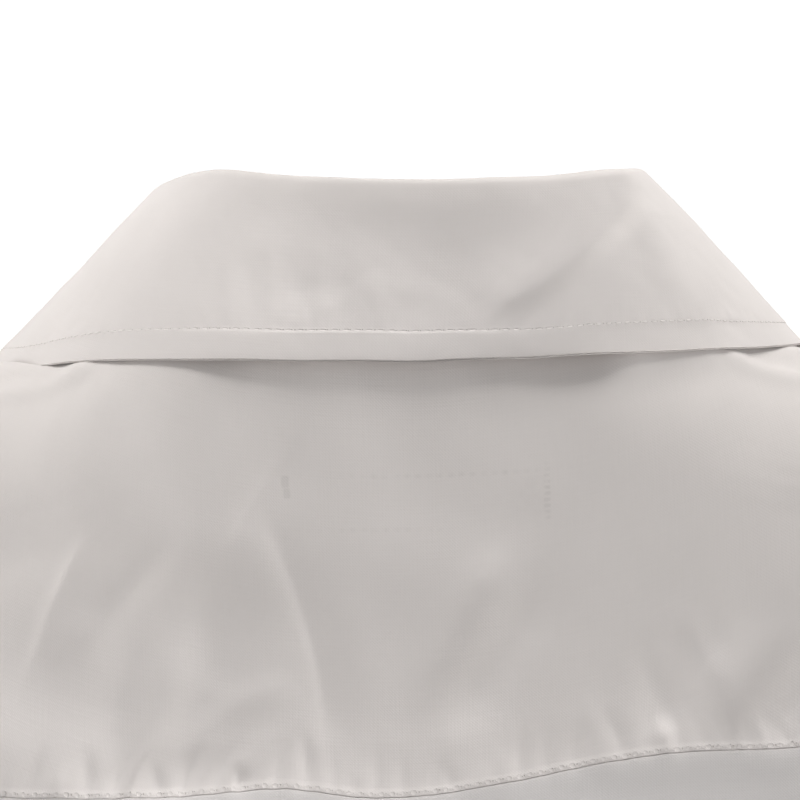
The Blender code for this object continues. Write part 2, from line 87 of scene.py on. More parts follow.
# %% Place the camera
CAMERA_LENS = 200.0            # millimetres
SENSOR_WIDTH = 36.0
VIEW_WIDTH = 0.176             # metres of shirt across the picture
CAMERA_RISE = 22.0             # degrees above level
CAMERA_TURN = 3.0              # degrees from straight behind, towards the wearer's left
AIM_SIDE = 0.0010              # metres to the wearer's left
AIM_BELOW_COLLAR = 0.0547      # from the top of the collar down to the middle of the picture
AIM_BEHIND_NECK = 0.062        # back from the middle of the neck


def add_object(name, data):
    made = bpy.data.objects.new(name, data)
    bpy.context.scene.collection.objects.link(made)
    return made


def camera_direction(rise, turn):
    rise, turn = math.radians(rise), math.radians(turn)
    level = math.cos(rise)
    return Vector((math.sin(turn) * level, math.cos(turn) * level, math.sin(rise)))


def add_camera():
    collar_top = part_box("collar_leaf")[1][2]
    aim = Vector((AIM_SIDE, AIM_BEHIND_NECK, collar_top - AIM_BELOW_COLLAR))
    back_to_camera = camera_direction(CAMERA_RISE, CAMERA_TURN)
    data = bpy.data.cameras.new("camera")
    data.lens = CAMERA_LENS
    data.sensor_width = SENSOR_WIDTH
    data.clip_start = 0.01
    distance = VIEW_WIDTH * CAMERA_LENS / SENSOR_WIDTH
    camera = add_object("camera", data)
    camera.location = aim + back_to_camera * distance
    camera.rotation_euler = (-back_to_camera).to_track_quat("-Z", "Y").to_euler()
    bpy.context.scene.camera = camera
    return distance


camera_distance = add_camera()
print(f"camera {camera_distance:.3f} m from the collar, looking at the back from above")

# %% [markdown]
# ## Floor and light
#
# White cloth only shows its folds in soft light that still comes from one side. Most of it comes
# from a large lamp far off behind on the wearer's left, like a window, and so low that the floor
# cuts off its lower half. A weak lamp opens the right side, and a soft one overhead lights the
# collar's fold. The sky is pale low down and darker above, with a white haze where it meets the
# floor. The floor glows a little, as a studio's lit backdrop does, so that it stays white.

# %% Make the floor, the lamps and the sky
FLOOR_GAP = 0.10               # from the hem down to the floor
FLOOR_SIZE = 30.0
FLOOR_GLOW = 0.92
SKY_OVERHEAD = 0.12
SKY_AT_HORIZON = 0.50
HORIZON_BAND = 0.25            # how high up the pale horizon reaches, as a sine
HAZE = 1.0                     # the sky where it meets the floor
HAZE_BAND = 0.06
LAMP_COLOUR = (1.0, 0.995, 0.98)
LAMPS = (                      # where each one stands, how wide it is, and its power in watts
    ("window_left", (2.6, 0.82, -0.92), 1.4, 66.0),
    ("window_right", (-1.48, 0.30, -0.10), 1.0, 4.0),
    ("overhead", (-0.10, -0.45, 1.44), 1.0, 23.0),
)


def new_material(name, sockets):
    """A material and its shader, with the values that are the same all over the surface."""
    material = bpy.data.materials.new(name)
    material.use_nodes = True
    shader = material.node_tree.nodes["Principled BSDF"]
    for socket, value in sockets.items():
        shader.inputs[socket].default_value = value
    return material, shader


def add_node(tree, kind, inputs=(), **settings):
    """A new node's outputs. Its settings come first, then the values or links of its sockets."""
    made = tree.nodes.new(kind)
    for name, value in settings.items():
        setattr(made, name, value)
    for name, value in dict(inputs).items():
        if isinstance(value, bpy.types.NodeSocket):
            tree.links.new(value, made.inputs[name])
        else:
            made.inputs[name].default_value = value
    return made.outputs


def add_floor():
    mesh_data = bmesh.new()
    bmesh.ops.create_grid(mesh_data, x_segments=1, y_segments=1, size=FLOOR_SIZE / 2)
    bmesh.ops.translate(mesh_data, vec=(0.0, 0.0, cad_box[0][2] - FLOOR_GAP), verts=mesh_data.verts)
    mesh = bpy.data.meshes.new("floor")
    mesh_data.to_mesh(mesh)
    mesh_data.free()
    mesh.materials.append(new_material("floor_white", {
        "Base Color": (0.9, 0.9, 0.9, 1.0), "Roughness": 0.9,
        "Emission Color": (1.0, 1.0, 1.0, 1.0), "Emission Strength": FLOOR_GLOW})[0])
    add_object("floor", mesh)


def add_lamp(name, place, size, power):
    data = bpy.data.lights.new(name, "AREA")
    data.shape = "DISK"
    data.size = size
    data.energy = power
    data.color = LAMP_COLOUR
    lamp = add_object(name, data)
    lamp.location = place
    lamp.rotation_euler = (-Vector(place)).to_track_quat("-Z", "Y").to_euler()


def add_sky():
    world = bpy.data.worlds.new("studio_sky")
    world.use_nodes = True
    bpy.context.scene.world = world
    tree = world.node_tree
    place = add_node(tree, "ShaderNodeTexCoord")["Generated"]
    height = add_node(tree, "ShaderNodeSeparateXYZ", {0: place})["Z"]
    bands = ((HORIZON_BAND, SKY_AT_HORIZON, SKY_OVERHEAD), (HAZE_BAND, HAZE, 0.0))
    blends = [add_node(tree, "ShaderNodeMapRange", {"Value": height, "From Max": reach,
                                                    "To Min": low, "To Max": high})["Result"]
              for reach, low, high in bands]
    strength = add_node(tree, "ShaderNodeMath", dict(enumerate(blends)), operation="MAXIMUM")[0]
    background = tree.nodes["Background"].inputs
    tree.links.new(strength, background["Strength"])
    background["Color"].default_value = (1.0, 1.0, 1.0, 1.0)


bpy.context.scene.view_settings.view_transform = "Standard"
add_floor()
add_sky()
for lamp in LAMPS:
    add_lamp(*lamp)
print("floor", round(FLOOR_GAP - cad_box[0][2], 3), "m below the neck, and", len(LAMPS), "lamps")

# %% [markdown]
# ## The form that the cloth lies on
#
# A shirt's shape is a stack of closed rows, from the neck seam to the hem: each row has a width, a
# depth to the back and to the front, and three heights, because a row dips at the sides over the
# shoulders. A table holds only those few sizes, and a smooth curve runs between its rows. Any point
# of the body is then an angle round the wearer and a level down the stack. Modelling the same
# surface by pulling points by hand would also work, but panels made that way never quite meet.

# %% The rows of the form
FORM_COLUMNS = ("level", "half_width", "back_depth", "front_depth",
                "side_z", "back_z", "front_z", "squareness")
FORM_ROWS = (
    (0.0, 0.062, 0.064, 0.068, -0.005, 0.022, -0.048, 2.00),    # neck seam
    (0.4, 0.090, 0.076, 0.075, -0.014, 0.004, -0.066, 2.05),
    (1.0, 0.140, 0.088, 0.086, -0.031, -0.028, -0.096, 2.15),
    (2.0, 0.218, 0.101, 0.104, -0.064, -0.078, -0.138, 2.35),   # point of the shoulder
    (2.3, 0.234, 0.105, 0.109, -0.080, -0.098, -0.152, 2.35),
    (3.0, 0.220, 0.115, 0.119, -0.140, -0.150, -0.188, 2.35),
    (4.0, 0.194, 0.121, 0.129, -0.228, -0.230, -0.247, 2.30),   # armpit
    (5.0, 0.185, 0.111, 0.122, -0.420, -0.425, -0.425, 2.25),
    (6.0, 0.191, 0.119, 0.124, -0.560, -0.585, -0.580, 2.25),
    (7.0, 0.195, 0.122, 0.126, -0.655, -0.735, -0.725, 2.25),   # hem
)
ARMPIT_LEVEL = 4.0
HEM_LEVEL = 7.0
BACK = 90.0                    # angle of the centre back; the wearer's left side is 0
FRONT = -90.0


def smooth(places, values, at):
    """A smooth curve through a table's column, read at one place or an array of them."""
    at = np.clip(np.asarray(at, dtype=float), places[0], places[-1])
    slopes = np.gradient(values, places)
    index = np.clip(np.searchsorted(places, at, side="right") - 1, 0, len(places) - 2)
    width = places[index + 1] - places[index]
    share = (at - places[index]) / width
    start = values[index] * (1 + 2 * share) * (1 - share) ** 2
    start = start + slopes[index] * width * share * (1 - share) ** 2
    end = values[index + 1] * share ** 2 * (3 - 2 * share)
    return start + end - slopes[index + 1] * width * share ** 2 * (1 - share)


def table_reader(rows, columns):
    """A function that reads a column of a table, by its name, at any value of the first column."""
    table = np.array(rows, dtype=float)
    return lambda name, at: smooth(table[:, 0], table[:, columns.index(name)], at)


def ring_point(angle, half_width, back_depth, front_depth, side_z, back_z, front_z, squareness):
    """The point at an angle on one closed row."""
    cosine, sine = np.cos(np.radians(angle)), np.sin(np.radians(angle))
    reach = (np.abs(cosine) ** squareness + np.abs(sine) ** squareness) ** (-1.0 / squareness)
    depth = np.where(sine > 0, back_depth, front_depth)
    lean, sag = (back_z - front_z) / 2, (back_z + front_z) / 2 - side_z
    height = side_z + lean * sine + sag * sine ** 2
    return np.stack([half_width * reach * cosine, depth * reach * sine, height], axis=-1)


def unit(vectors):
    return vectors / np.linalg.norm(vectors, axis=-1, keepdims=True)


def walked(points):
    """Distance from the first point to each, along a line or down every column of a grid."""
    steps = np.linalg.norm(np.diff(points, axis=0), axis=-1)
    return np.concatenate([0 * steps[:1], np.cumsum(steps, axis=0)])


read_form = table_reader(FORM_ROWS, FORM_COLUMNS)


def form_point(angle, level):
    """The point of the form at an angle round the wearer and a level down the rows."""
    angle, level = np.broadcast_arrays(np.asarray(angle, float), np.asarray(level, float))
    return ring_point(angle, *[read_form(name, level) for name in FORM_COLUMNS[1:]])


def form_normal(angle, level, step=0.01):
    """The outward direction of the form, from its slopes around and down it."""
    level = np.asarray(level, dtype=float)
    around = form_point(angle + 50 * step, level) - form_point(angle - 50 * step, level)
    down = form_point(angle, level + step) - form_point(angle, np.maximum(level - step, 0.0))
    return unit(np.cross(down, around))


neck_seam = form_point(np.linspace(0, 360, 181), 0.0)
print("neck seam:", round(float(walked(neck_seam)[-1]), 3), "m round")

# %% [markdown]
# ## Armholes and seams
#
# The armhole is a loop on the form, and the yoke's seams end on it. The frame gives the yoke's
# back seam as a plain line, but a real one is sewn by hand and eye, so it wanders: here it rises a
# few millimetres on the wearer's right and dips a little on the left. The wander fades out before
# the armholes, where the pieces must still meet.

# %% Armholes, the yoke's seam and its wander
ARMHOLE_MID_LEVEL = 3.0
ARMHOLE_ANGLE = -2.0           # of the loop's middle, then how far it reaches back and forward
ARMHOLE_BACK_REACH = 31.0
ARMHOLE_FRONT_REACH = 33.0
YOKE_BACK_TURN = 50.0          # turns round the armhole where the yoke's two seams end
YOKE_FRONT_TURN = -26.0
YOKE_FRONT_NECK = -27.0        # angle at which its front seam starts on the neck seam
YOKE_SEAM_LEVEL = 2.0
YOKE_CROWDING = 1.35           # above 1, its rows lie closer together towards the lower edge
# Distance to the wearer's left of the centre back, and how far the seam lies below its plain line.
SEAM_WANDER = ((-160, 0.0), (-120, -1.2), (-82, -3.6), (-60, -5.9), (-40, -5.2), (-20, -2.5),
               (0, -0.4), (10, -0.2), (28, -2.2), (48, -0.2), (72, 2.7), (95, 4.6), (130, 1.8),
               (160, 0.0))


def armhole(turn):
    """Angle and level of the armhole's loop, its turn measured from the shoulder, backwards."""
    turn = np.asarray(turn, dtype=float)
    side = np.sin(np.radians(turn))
    reach = np.where(side > 0, ARMHOLE_BACK_REACH, ARMHOLE_FRONT_REACH)
    return ARMHOLE_ANGLE + reach * side, ARMHOLE_MID_LEVEL - np.cos(np.radians(turn))


levels_down = np.linspace(0.0, HEM_LEVEL, 1401)
lengths_down = walked(form_point(BACK, levels_down))


def level_at(down):
    """The level that lies a distance in metres below the neck seam, down the centre back."""
    return np.interp(down, lengths_down, levels_down)


def down_at(level):
    return np.interp(level, levels_down, lengths_down)


def yoke_seam(share):
    """Angles and levels of the yoke's back seam, from the left armhole (0) to the right (1)."""
    first_angle, first_level = armhole(YOKE_BACK_TURN)
    angles = first_angle + (180.0 - 2 * first_angle) * share
    outward = np.abs(2 * share - 1)
    levels = YOKE_SEAM_LEVEL + (first_level - YOKE_SEAM_LEVEL) * outward ** 4
    wander = np.array(SEAM_WANDER) * MM
    across = form_point(angles, levels)[..., 0]
    return angles, level_at(down_at(levels) + smooth(wander[:, 0], wander[:, 1], across))


seam_middle = form_point(*yoke_seam(np.linspace(0, 1, 201)))
print("yoke seam:", round(float(walked(seam_middle)[-1]), 3), "m long")

# %% [markdown]
# ## Creases
#
# Worn cloth is never quite smooth: it carries a few long folds from how it hangs, faint pressed
# lines, and many small puckers where a seam is a little tighter than the cloth beside it. A cloth
# simulation gives folds of its own choosing, in its own places. Here each main crease is drawn as
# a short path, with a height and a width on either side of it, so it lies where it should and can
# be a soft swell or a crisp line. A point is pushed out by every crease that it is near.

# %% One crease, and what many of them do to a surface
PATH_STEPS = 12
CREASE_REACH = 3.2             # a crease is felt out to this many times its width
WAVES = 14                     # waves in a ripple


class Crease:
    """A path in space, how high it stands (below 0 for a furrow) and how wide it is each side.

    Left and right are the viewer's, when a path that runs down is seen from outside, and turn with
    the path. A crispness of 2 is a soft swell and of 1 a sharp line. It fades out at both ends, over
    the share of its length given by fade.
    """

    def __init__(self, path, height, left, right, crispness, fade):
        path = np.array(path, dtype=float)
        steps = np.linspace(0.0, len(path) - 1.0, PATH_STEPS + 1)
        stops = np.arange(len(path), dtype=float)
        self.path = np.stack([smooth(stops, path[:, axis], steps) for axis in range(3)], axis=-1)
        self.height, self.left, self.right = height * MM, left * MM, right * MM
        self.crispness, self.fade = crispness, fade

    def rise(self, points, normals):
        """Height added at each of a list of points, with the surface's own normals there."""
        reach = CREASE_REACH * max(self.left, self.right)
        low, high = self.path.min(axis=0) - reach, self.path.max(axis=0) + reach
        near = np.all((points > low) & (points < high), axis=1)
        result = np.zeros(len(points))
        if not near.any():
            return result
        spots, outward = points[near], normals[near]
        best = np.full(len(spots), np.inf)
        offset, place = np.zeros(len(spots)), np.zeros(len(spots))
        for index in range(PATH_STEPS):
            start, run = self.path[index], self.path[index + 1] - self.path[index]
            share = np.clip((spots - start) @ run / (run @ run), 0.0, 1.0)
            away = spots - start - share[:, None] * run
            away -= np.sum(away * outward, axis=1)[:, None] * outward
            distance = np.linalg.norm(away, axis=1)
            closer = distance < best
            side = np.sign(np.sum(away * np.cross(outward, run), axis=1))
            best = np.where(closer, distance, best)
            offset = np.where(closer, distance * side, offset)
            place = np.where(closer, (index + share) / PATH_STEPS, place)
        width = np.where(offset > 0, self.right, self.left)
        ends = np.clip(np.minimum(place, 1.0 - place) / self.fade, 0.0, 1.0)
        profile = np.exp(-(np.abs(offset) / width) ** self.crispness)
        result[near] = self.height * profile * ends * ends * (3 - 2 * ends)
        return result


def grid_normals(grid):
    """Outward directions of a grid whose rows run down and whose columns run with the angle."""
    down, across = np.gradient(grid, axis=0), np.gradient(grid, axis=1)
    normal = np.cross(down, across)
    return normal / np.maximum(np.linalg.norm(normal, axis=-1, keepdims=True), 1e-12)


def creased(grid, creases, normals):
    """A grid pushed in and out along its normals by its creases."""
    points, outward = grid.reshape(-1, 3), normals.reshape(-1, 3)
    rise = sum(crease.rise(points, outward) for crease in creases)
    return (points + rise[:, None] * outward).reshape(grid.shape)


def pushed(grid, rise, normals):
    """A grid moved along its normals, by a rise in millimetres at each point."""
    return grid + (rise * MM)[..., None] * normals


def rippled(grid, height, length, seed, normals=None):
    """A grid with a faint unevenness: a few waves of about one length, in seeded directions."""
    random = np.random.RandomState(seed)
    normals = grid_normals(grid) if normals is None else normals
    waves = unit(random.normal(size=(WAVES, 3)))
    waves *= 2 * math.pi / (length * MM) * random.uniform(0.6, 1.5, (WAVES, 1))
    phases = random.uniform(0, 2 * math.pi, WAVES)
    rise = np.sin(grid @ waves.T + phases).sum(axis=-1) * height / math.sqrt(WAVES / 2)
    return pushed(grid, rise, normals)


# %% [markdown]
# ### Where a crease lies
#
# Paths on the back are given as a tailor would: millimetres to the wearer's left of the centre
# back, and millimetres down from the neck seam. On the front a spot is millimetres to the side of
# the centre front and a level of the form, and at the side it is an angle and a level.

# %% Spots on the back, the front and the side
def angle_across(across, level):
    """The angle, at the back, of a point that lies a distance to the left of the centre."""
    power = read_form("squareness", level)
    share = np.clip(across / read_form("half_width", level), -1.0, 1.0)
    depth = (1.0 - np.abs(share) ** power) ** (1.0 / power)
    return np.degrees(np.arctan2(depth, share))


def back_spot(across, down):
    level = level_at(down * MM)
    return form_point(angle_across(across * MM, level), level)


def front_spot(across, level):
    return form_point(-angle_across(across * MM, level), level)


def creases_in(spot, *rows):
    """Creases from rows of height, left, right, crispness, fade and a path in one kind of spot."""
    return [Crease([spot(*place) for place in path], height, left, right, crispness, fade)
            for height, left, right, crispness, fade, *path in rows]


print("100 mm down the centre back:", back_spot(0.0, 100.0).round(3), "m")

# %% The creases of the yoke and the back
YOKE_CREASES = creases_in(back_spot,
    # The long fold that falls from below the collar to the seam, crisp, with a soft hollow beside.
    (0.6, 3.2, 7, 1.5, 0.25, (33, 42), (30, 50), (26, 60), (22.5, 70), (20.3, 80), (19, 92), (18, 108)),
    (0.4, 1.1, 4, 1.2, 0.35, (32.6, 43), (29.8, 50), (25.8, 60), (22.5, 70), (20.3, 80), (19.2, 90),
     (18.3, 102)),
    (-0.55, 5, 6, 2, 0.35, (23, 52), (17, 64), (13, 76), (11, 88), (10, 100)),
    (1.6, 26, 26, 2, 0.4, (31, 46), (25, 66), (20, 90), (18, 118)),
    # A pressed line that slants down to the left, out from the collar.
    (0.6, 1.6, 3, 1.3, 0.35, (21, 24), (26.4, 33), (31, 39.5), (34.6, 45), (38.4, 51), (43, 57)),
    # The fold nearer the wearer's left shoulder, its narrow crest catching the light.
    (0.5, 3.2, 7, 1.5, 0.25, (69, 52), (71.5, 58), (74.6, 65), (78.5, 73), (81, 80), (84.3, 87),
     (86.5, 95), (87, 104)),
    (0.46, 1.1, 4, 1.2, 0.35, (70.3, 54), (71.5, 58), (74.6, 65), (78.5, 73), (81, 80), (84.3, 87),
     (86.3, 94)),
    (2.2, 12, 20, 2, 0.4, (70, 48), (79, 66), (86, 84), (90, 108)),
    (-0.65, 3.4, 3.4, 2, 0.35, (49, 50), (53, 55.5), (62, 67), (68, 74), (73, 79), (78, 87)),
    # Upright swell and hollow between the two, and the slack that slants to the seam.
    (1, 5.6, 3.4, 2, 0.4, (57, 70), (60, 77), (63.5, 85), (65.8, 93), (67, 104)),
    (-0.9, 4.6, 4.4, 2, 0.4, (47, 68), (50, 78), (53, 88), (56, 98), (57, 108)),
    (-0.55, 3.4, 3.8, 2, 0.35, (25, 80), (30, 83.5), (39, 87.5), (46, 94), (52, 101)),
    (0.55, 5, 5, 2, 0.35, (40, 58), (42, 68), (42, 78), (44, 86)),
    # The cloth left of the long fold turns a little to the side.
    (3, 26, 12, 2, 0.35, (44, 50), (48, 70), (52, 100), (54, 118)),
    # Slack diagonals on the right.
    (-1.5, 5.5, 5.5, 2, 0.35, (-32, 50), (-22, 56), (-16, 62), (-12, 69), (-8, 76), (-3.5, 84), (0, 94)),
    (1.2, 4.6, 6, 1.9, 0.35, (-34, 60), (-26, 68), (-19, 77), (-12, 86), (-8, 96)),
    (-1.2, 5, 4, 2, 0.35, (-58, 66), (-60, 74), (-62, 80), (-66, 87), (-68, 94)),
    (0.9, 4, 4, 2, 0.35, (-50, 72), (-52, 82), (-54, 92), (-55, 98)),
    (-1.6, 8, 6, 2, 0.35, (-88, 74), (-80, 84), (-70, 93), (-62, 100)),
    (1.2, 7, 8, 2, 0.35, (-74, 66), (-66, 78), (-58, 88), (-53, 98)),
    (1.2, 6, 5, 1.8, 0.35, (-93, 82), (-84, 92), (-76, 101)),
    # Under the collar the cloth swells up towards the leaf, and falls away more steeply below it.
    (2.2, 6, 26, 2, 0.14, (-108, 30), (-94, 26), (-80, 22), (-55, 17), (-28, 14), (0, 13), (28, 14),
     (50, 16), (66, 19), (76, 21)),
    (1.5, 20, 20, 2, 0.3, (-84, 94), (-40, 92), (0, 92), (40, 87), (84, 84)),
    # The roll of cloth that comes out from under each end of the collar, and the pocket above it.
    (1, 2.8, 2.6, 1.9, 0.25, (66, 20), (71, 22.5), (76, 25.5), (82, 28.5), (89, 31.5), (98, 36)),
    (1.2, 3, 3.5, 2, 0.2, (60, 17.5), (70, 20.5), (78, 22.5), (86, 24.5), (96, 27)),
    (-0.8, 2, 2, 2, 0.35, (79, 24), (84, 25.2), (88, 26.5)),
    (1.1, 2.8, 3, 1.9, 0.25, (-68, 20), (-74, 24), (-80, 27.5), (-87, 31), (-96, 35)),
    # Either side of the middle the cloth comes up until it nearly touches the collar's edge.
    (2.8, 5, 8, 2, 0.3, (-38, 15), (-48, 16), (-58, 17.6), (-67, 19.4), (-76, 21.5)),
    (1.5, 3, 5, 2, 0.3, (-68, 19.6), (-75, 21.4), (-82, 23.7), (-90, 26.6), (-98, 30)),
    (1.1, 5, 8, 2, 0.35, (32, 14), (42, 15), (52, 16.6), (62, 18.8), (68, 20)),
    # Beside each end of the collar the cloth rises again towards the shoulder.
    (2.6, 16, 22, 2, 0.4, (112, 34), (105, 48), (100, 60), (98, 70)),
    (2, 20, 16, 2, 0.4, (-112, 34), (-105, 46), (-101, 56), (-100, 64)),
    # Out over the shoulder blades.
    (0.9, 9, 12, 2, 0.35, (104, 62), (122, 82), (136, 104), (142, 130)),
    (-0.9, 10, 12, 2, 0.35, (88, 62), (104, 84), (116, 108), (120, 134)),
    (0.8, 12, 9, 2, 0.35, (-106, 58), (-124, 80), (-138, 104), (-144, 132)),
    (-0.8, 12, 10, 2, 0.35, (-92, 66), (-106, 88), (-116, 110), (-121, 138)),
)
BACK_CREASES = creases_in(back_spot,
    (3.2, 14, 20, 2, 0.4, (120, 150), (104, 230), (96, 330), (100, 450), (104, 600)),
    (-3, 16, 14, 2, 0.4, (92, 170), (74, 260), (66, 380), (70, 520), (72, 700)),
    (2.4, 18, 12, 2, 0.4, (44, 220), (40, 330), (36, 470), (34, 640), (30, 766)),
    (3, 18, 14, 2, 0.4, (-118, 150), (-106, 240), (-92, 350), (-96, 480), (-108, 640)),
    (-2.6, 14, 16, 2, 0.4, (-88, 180), (-72, 290), (-60, 420), (-64, 560), (-74, 760)),
    (2, 14, 20, 2, 0.4, (-30, 260), (-34, 380), (-30, 520), (-24, 700)),
    (-1.8, 16, 16, 2, 0.4, (6, 300), (4, 420), (-2, 560), (-6, 740)),
    # Drag lines from the armpits, and the slack above the waist.
    (2.2, 8, 12, 1.8, 0.35, (168, 236), (138, 262), (104, 300), (70, 352)),
    (-1.8, 8, 10, 2, 0.35, (164, 262), (134, 292), (104, 330), (84, 370)),
    (2, 12, 8, 1.8, 0.35, (-168, 232), (-140, 256), (-108, 290), (-78, 336)),
    (-1.8, 10, 8, 2, 0.35, (-164, 258), (-136, 286), (-108, 322), (-90, 360)),
    (1.6, 8, 12, 1.8, 0.35, (150, 420), (112, 440), (72, 446), (36, 436)),
    (1.4, 8, 10, 1.8, 0.35, (-146, 446), (-110, 462), (-70, 462), (-30, 450)),
)
print(len(YOKE_CREASES) + len(BACK_CREASES), "creases drawn on the back by hand")

# %% [markdown]
# ## Cloth panels
#
# A panel's points are laid closely where the eye is near, at the yoke and the collar, and loosely
# where the cloth is plain. Each panel carries its own map, in metres of cloth, so that the threads
# of the weave in the material run with the panel and keep their size. Solidify gives the sheet of
# points its thickness, inwards, and Bevel rounds its cut edges, as a turned edge is.

# %% Turn a grid of points into a piece of cloth
CLOTH_WALL = 0.0006            # metres
CORNER = 60                    # degrees; the bevel rounds what turns by more than this


def spaced(*stretches):
    """Values along a line, given as (start, number of steps) pairs and a last end."""
    parts = []
    for (start, count), (end, _) in zip(stretches, stretches[1:]):
        parts.append(np.linspace(start, end, count + 1)[:-1])
    return np.concatenate(parts + [[stretches[-1][0]]])


def cloth_map(grid):
    """Where each point lies on the flat cloth: across from the middle column, and down."""
    across, middle = walked(np.swapaxes(grid, 0, 1)).T, grid.shape[1] // 2
    return np.stack([across - across[:, middle:middle + 1], walked(grid)], axis=-1)


def add_cloth(name, grid, wall=CLOTH_WALL, closed=False, rounding=0.45):
    """A piece of cloth from a grid of points on its outer face, its wall on the inner side."""
    rows, columns = grid.shape[:2]
    if closed:
        grid = np.concatenate([grid, grid[:, :1]], axis=1)
    flat = cloth_map(grid)
    index = np.arange(rows * columns).reshape(rows, columns)
    after = np.roll(index, -1, axis=1)
    spans = columns if closed else columns - 1
    corners = [index[:-1, :spans], index[1:, :spans], after[1:, :spans], after[:-1, :spans]]
    faces = np.stack([corner.ravel() for corner in corners], axis=1)
    mesh = bpy.data.meshes.new(name)
    points = grid[:, :columns].reshape(-1, 3)
    mesh.from_pydata(points.tolist(), [], faces.tolist())
    mesh.shade_smooth()
    steps = [flat[:-1, :spans], flat[1:, :spans], flat[1:, 1:spans + 1], flat[:-1, 1:spans + 1]]
    map_values = np.stack([step.reshape(-1, 2) for step in steps], axis=1)
    mesh.uv_layers.new(name="cloth").data.foreach_set("uv", map_values.astype(np.float32).ravel())
    piece = add_object(name, mesh)
    solid = piece.modifiers.new("wall", "SOLIDIFY")
    solid.thickness = wall
    solid.offset = -1.0
    solid.use_even_offset = True
    solid.thickness_clamp = 1.0
    bevel = piece.modifiers.new("turned_edge", "BEVEL")
    bevel.width = wall * rounding
    bevel.segments = 2
    bevel.limit_method = "ANGLE"
    bevel.angle_limit = math.radians(CORNER)
    bevel.use_clamp_overlap = False
    return piece


def cloth_area(grid):
    """Area of a grid's quads, in square metres."""
    one = np.cross(grid[1:, :-1] - grid[:-1, :-1], grid[:-1, 1:] - grid[:-1, :-1])
    two = np.cross(grid[1:, 1:] - grid[:-1, 1:], grid[1:, 1:] - grid[1:, :-1])
    return float((np.linalg.norm(one, axis=-1) + np.linalg.norm(two, axis=-1)).sum() / 2)


def measured(grid):
    return f"{grid.shape[0]} x {grid.shape[1]} points, {cloth_area(grid):.4f} m2"


def mirrored(grid):
    """The other side's grid, its columns turned round so that it still faces out."""
    return grid[:, ::-1] * np.array([-1.0, 1.0, 1.0])


print("panels are", CLOTH_WALL / MM, "mm thick")

# %% [markdown]
# ## Puckers
#
# A seam gathers the cloth beside it a little, because the thread is pulled tighter than the cloth.
# The puckers are short ridges that start at the seam and fade out away from it, of uneven length
# and spacing. They are many and alike, so a seeded draw lays them, and each is a crease as above.

# %% Puckers along a seam
def vector_at(place, places, vectors):
    return np.array([np.interp(place, places, vectors[:, axis]) for axis in range(3)])


def puckers(seam, inward, height, width, spacing, reach, seed, strength=None):
    """Short creases that leave a line of points in the inward directions beside it."""
    random = np.random.RandomState(seed)
    lengths = walked(seam)
    place, made = 0.0, []
    while place < lengths[-1]:
        spot, away = vector_at(place, lengths, seam), vector_at(place, lengths, inward)
        along = vector_at(place + MM, lengths, seam) - spot
        scale = 1.0 if strength is None else strength(spot)
        length = reach * MM * random.uniform(0.5, 1.6)
        lean = random.uniform(-0.3, 0.3) * length * along / max(np.linalg.norm(along), 1e-9)
        left, right = random.uniform(0.7, 1.3, 2) * width
        rise = height * scale * random.choice([1.0, 1.0, -0.8]) * random.uniform(0.5, 1.2)
        path = [spot - 0.4 * length * away, spot + 0.3 * length * away, spot + length * away + lean]
        made.append(Crease(path, rise, left, right, crispness=1.7, fade=0.5))
        place += spacing * MM * random.uniform(0.6, 1.5)
    return made

# %% [markdown]
# ## Lines that follow an edge
#
# A maker measures from the edge: a row of stitches lies a millimetre inside it, a hem is 7 mm deep.
# These helpers do the same on a grid: one gives every point's distance from the last row, and
# another finds the line that lies a set distance inside, with the way that the cloth faces there.

# %% Distances from an edge
def from_last_row(grid):
    return walked(grid[::-1])[::-1]


def edge_first(grid, edge):
    """A grid turned so that the edge asked for is its first row."""
    if edge in ("first column", "last column"):
        grid = np.swapaxes(grid, 0, 1)
    return grid if edge in ("top", "first column") else grid[::-1]


def line_inside(grid, inside, edge="bottom"):
    """Points and outward directions of the line at a distance in millimetres from an edge."""
    normals, grid = edge_first(grid_normals(grid), edge), edge_first(grid, edge)
    distances = walked(grid)
    columns = range(grid.shape[1])
    return tuple(np.array([vector_at(inside * MM, distances[:, column], values[:, column])
                           for column in columns]) for values in (grid, normals))


def soft_step(values, start, end):
    """0 before start and 1 after end, turning smoothly between."""
    share = np.clip((values - start) / (end - start), 0.0, 1.0)
    return share * share * (3 - 2 * share)


def inward_from(grid, depth=8.0):
    """The line of the last row, and the directions in from it along the cloth."""
    edge, inner = line_inside(grid, 0.0)[0], line_inside(grid, depth)[0]
    return edge, unit(inner - edge)


def drawn_in(grid, **distances):
    """Draw edges back along the surface, in millimetres, to leave a seam's gap."""
    grid = grid.copy()
    for edge in ("top", "bottom", "first_column", "last_column"):
        if edge in distances:
            # The turned grid is a view, so what moves its first row moves the grid's edge.
            turned = edge_first(grid, edge.replace("_", " "))
            turned[0] += unit(turned[1] - turned[0]) * distances[edge] * MM
    return grid


# %% [markdown]
# ## Yoke
#
# The yoke lies across the shoulders and turns over them to the front. Its lower edge is turned
# under and topstitched onto the back, so for its last few millimetres it is three layers thick: it
# stands a little proud there, is pressed down along the thread, and puckers above it.

# %% Lay out the yoke
YOKE_STITCH_INSIDE = 0.95      # millimetres from its lower edge to the stitches
SEAM_RISE = 0.20               # how far the layers lift it, in millimetres
SEAM_DRAW = 0.15               # how far an edge is drawn back, to leave a seam's gap
BODY_RIPPLE = (0.16, 30.0, 11)        # height and length of the faint unevenness, and its seed


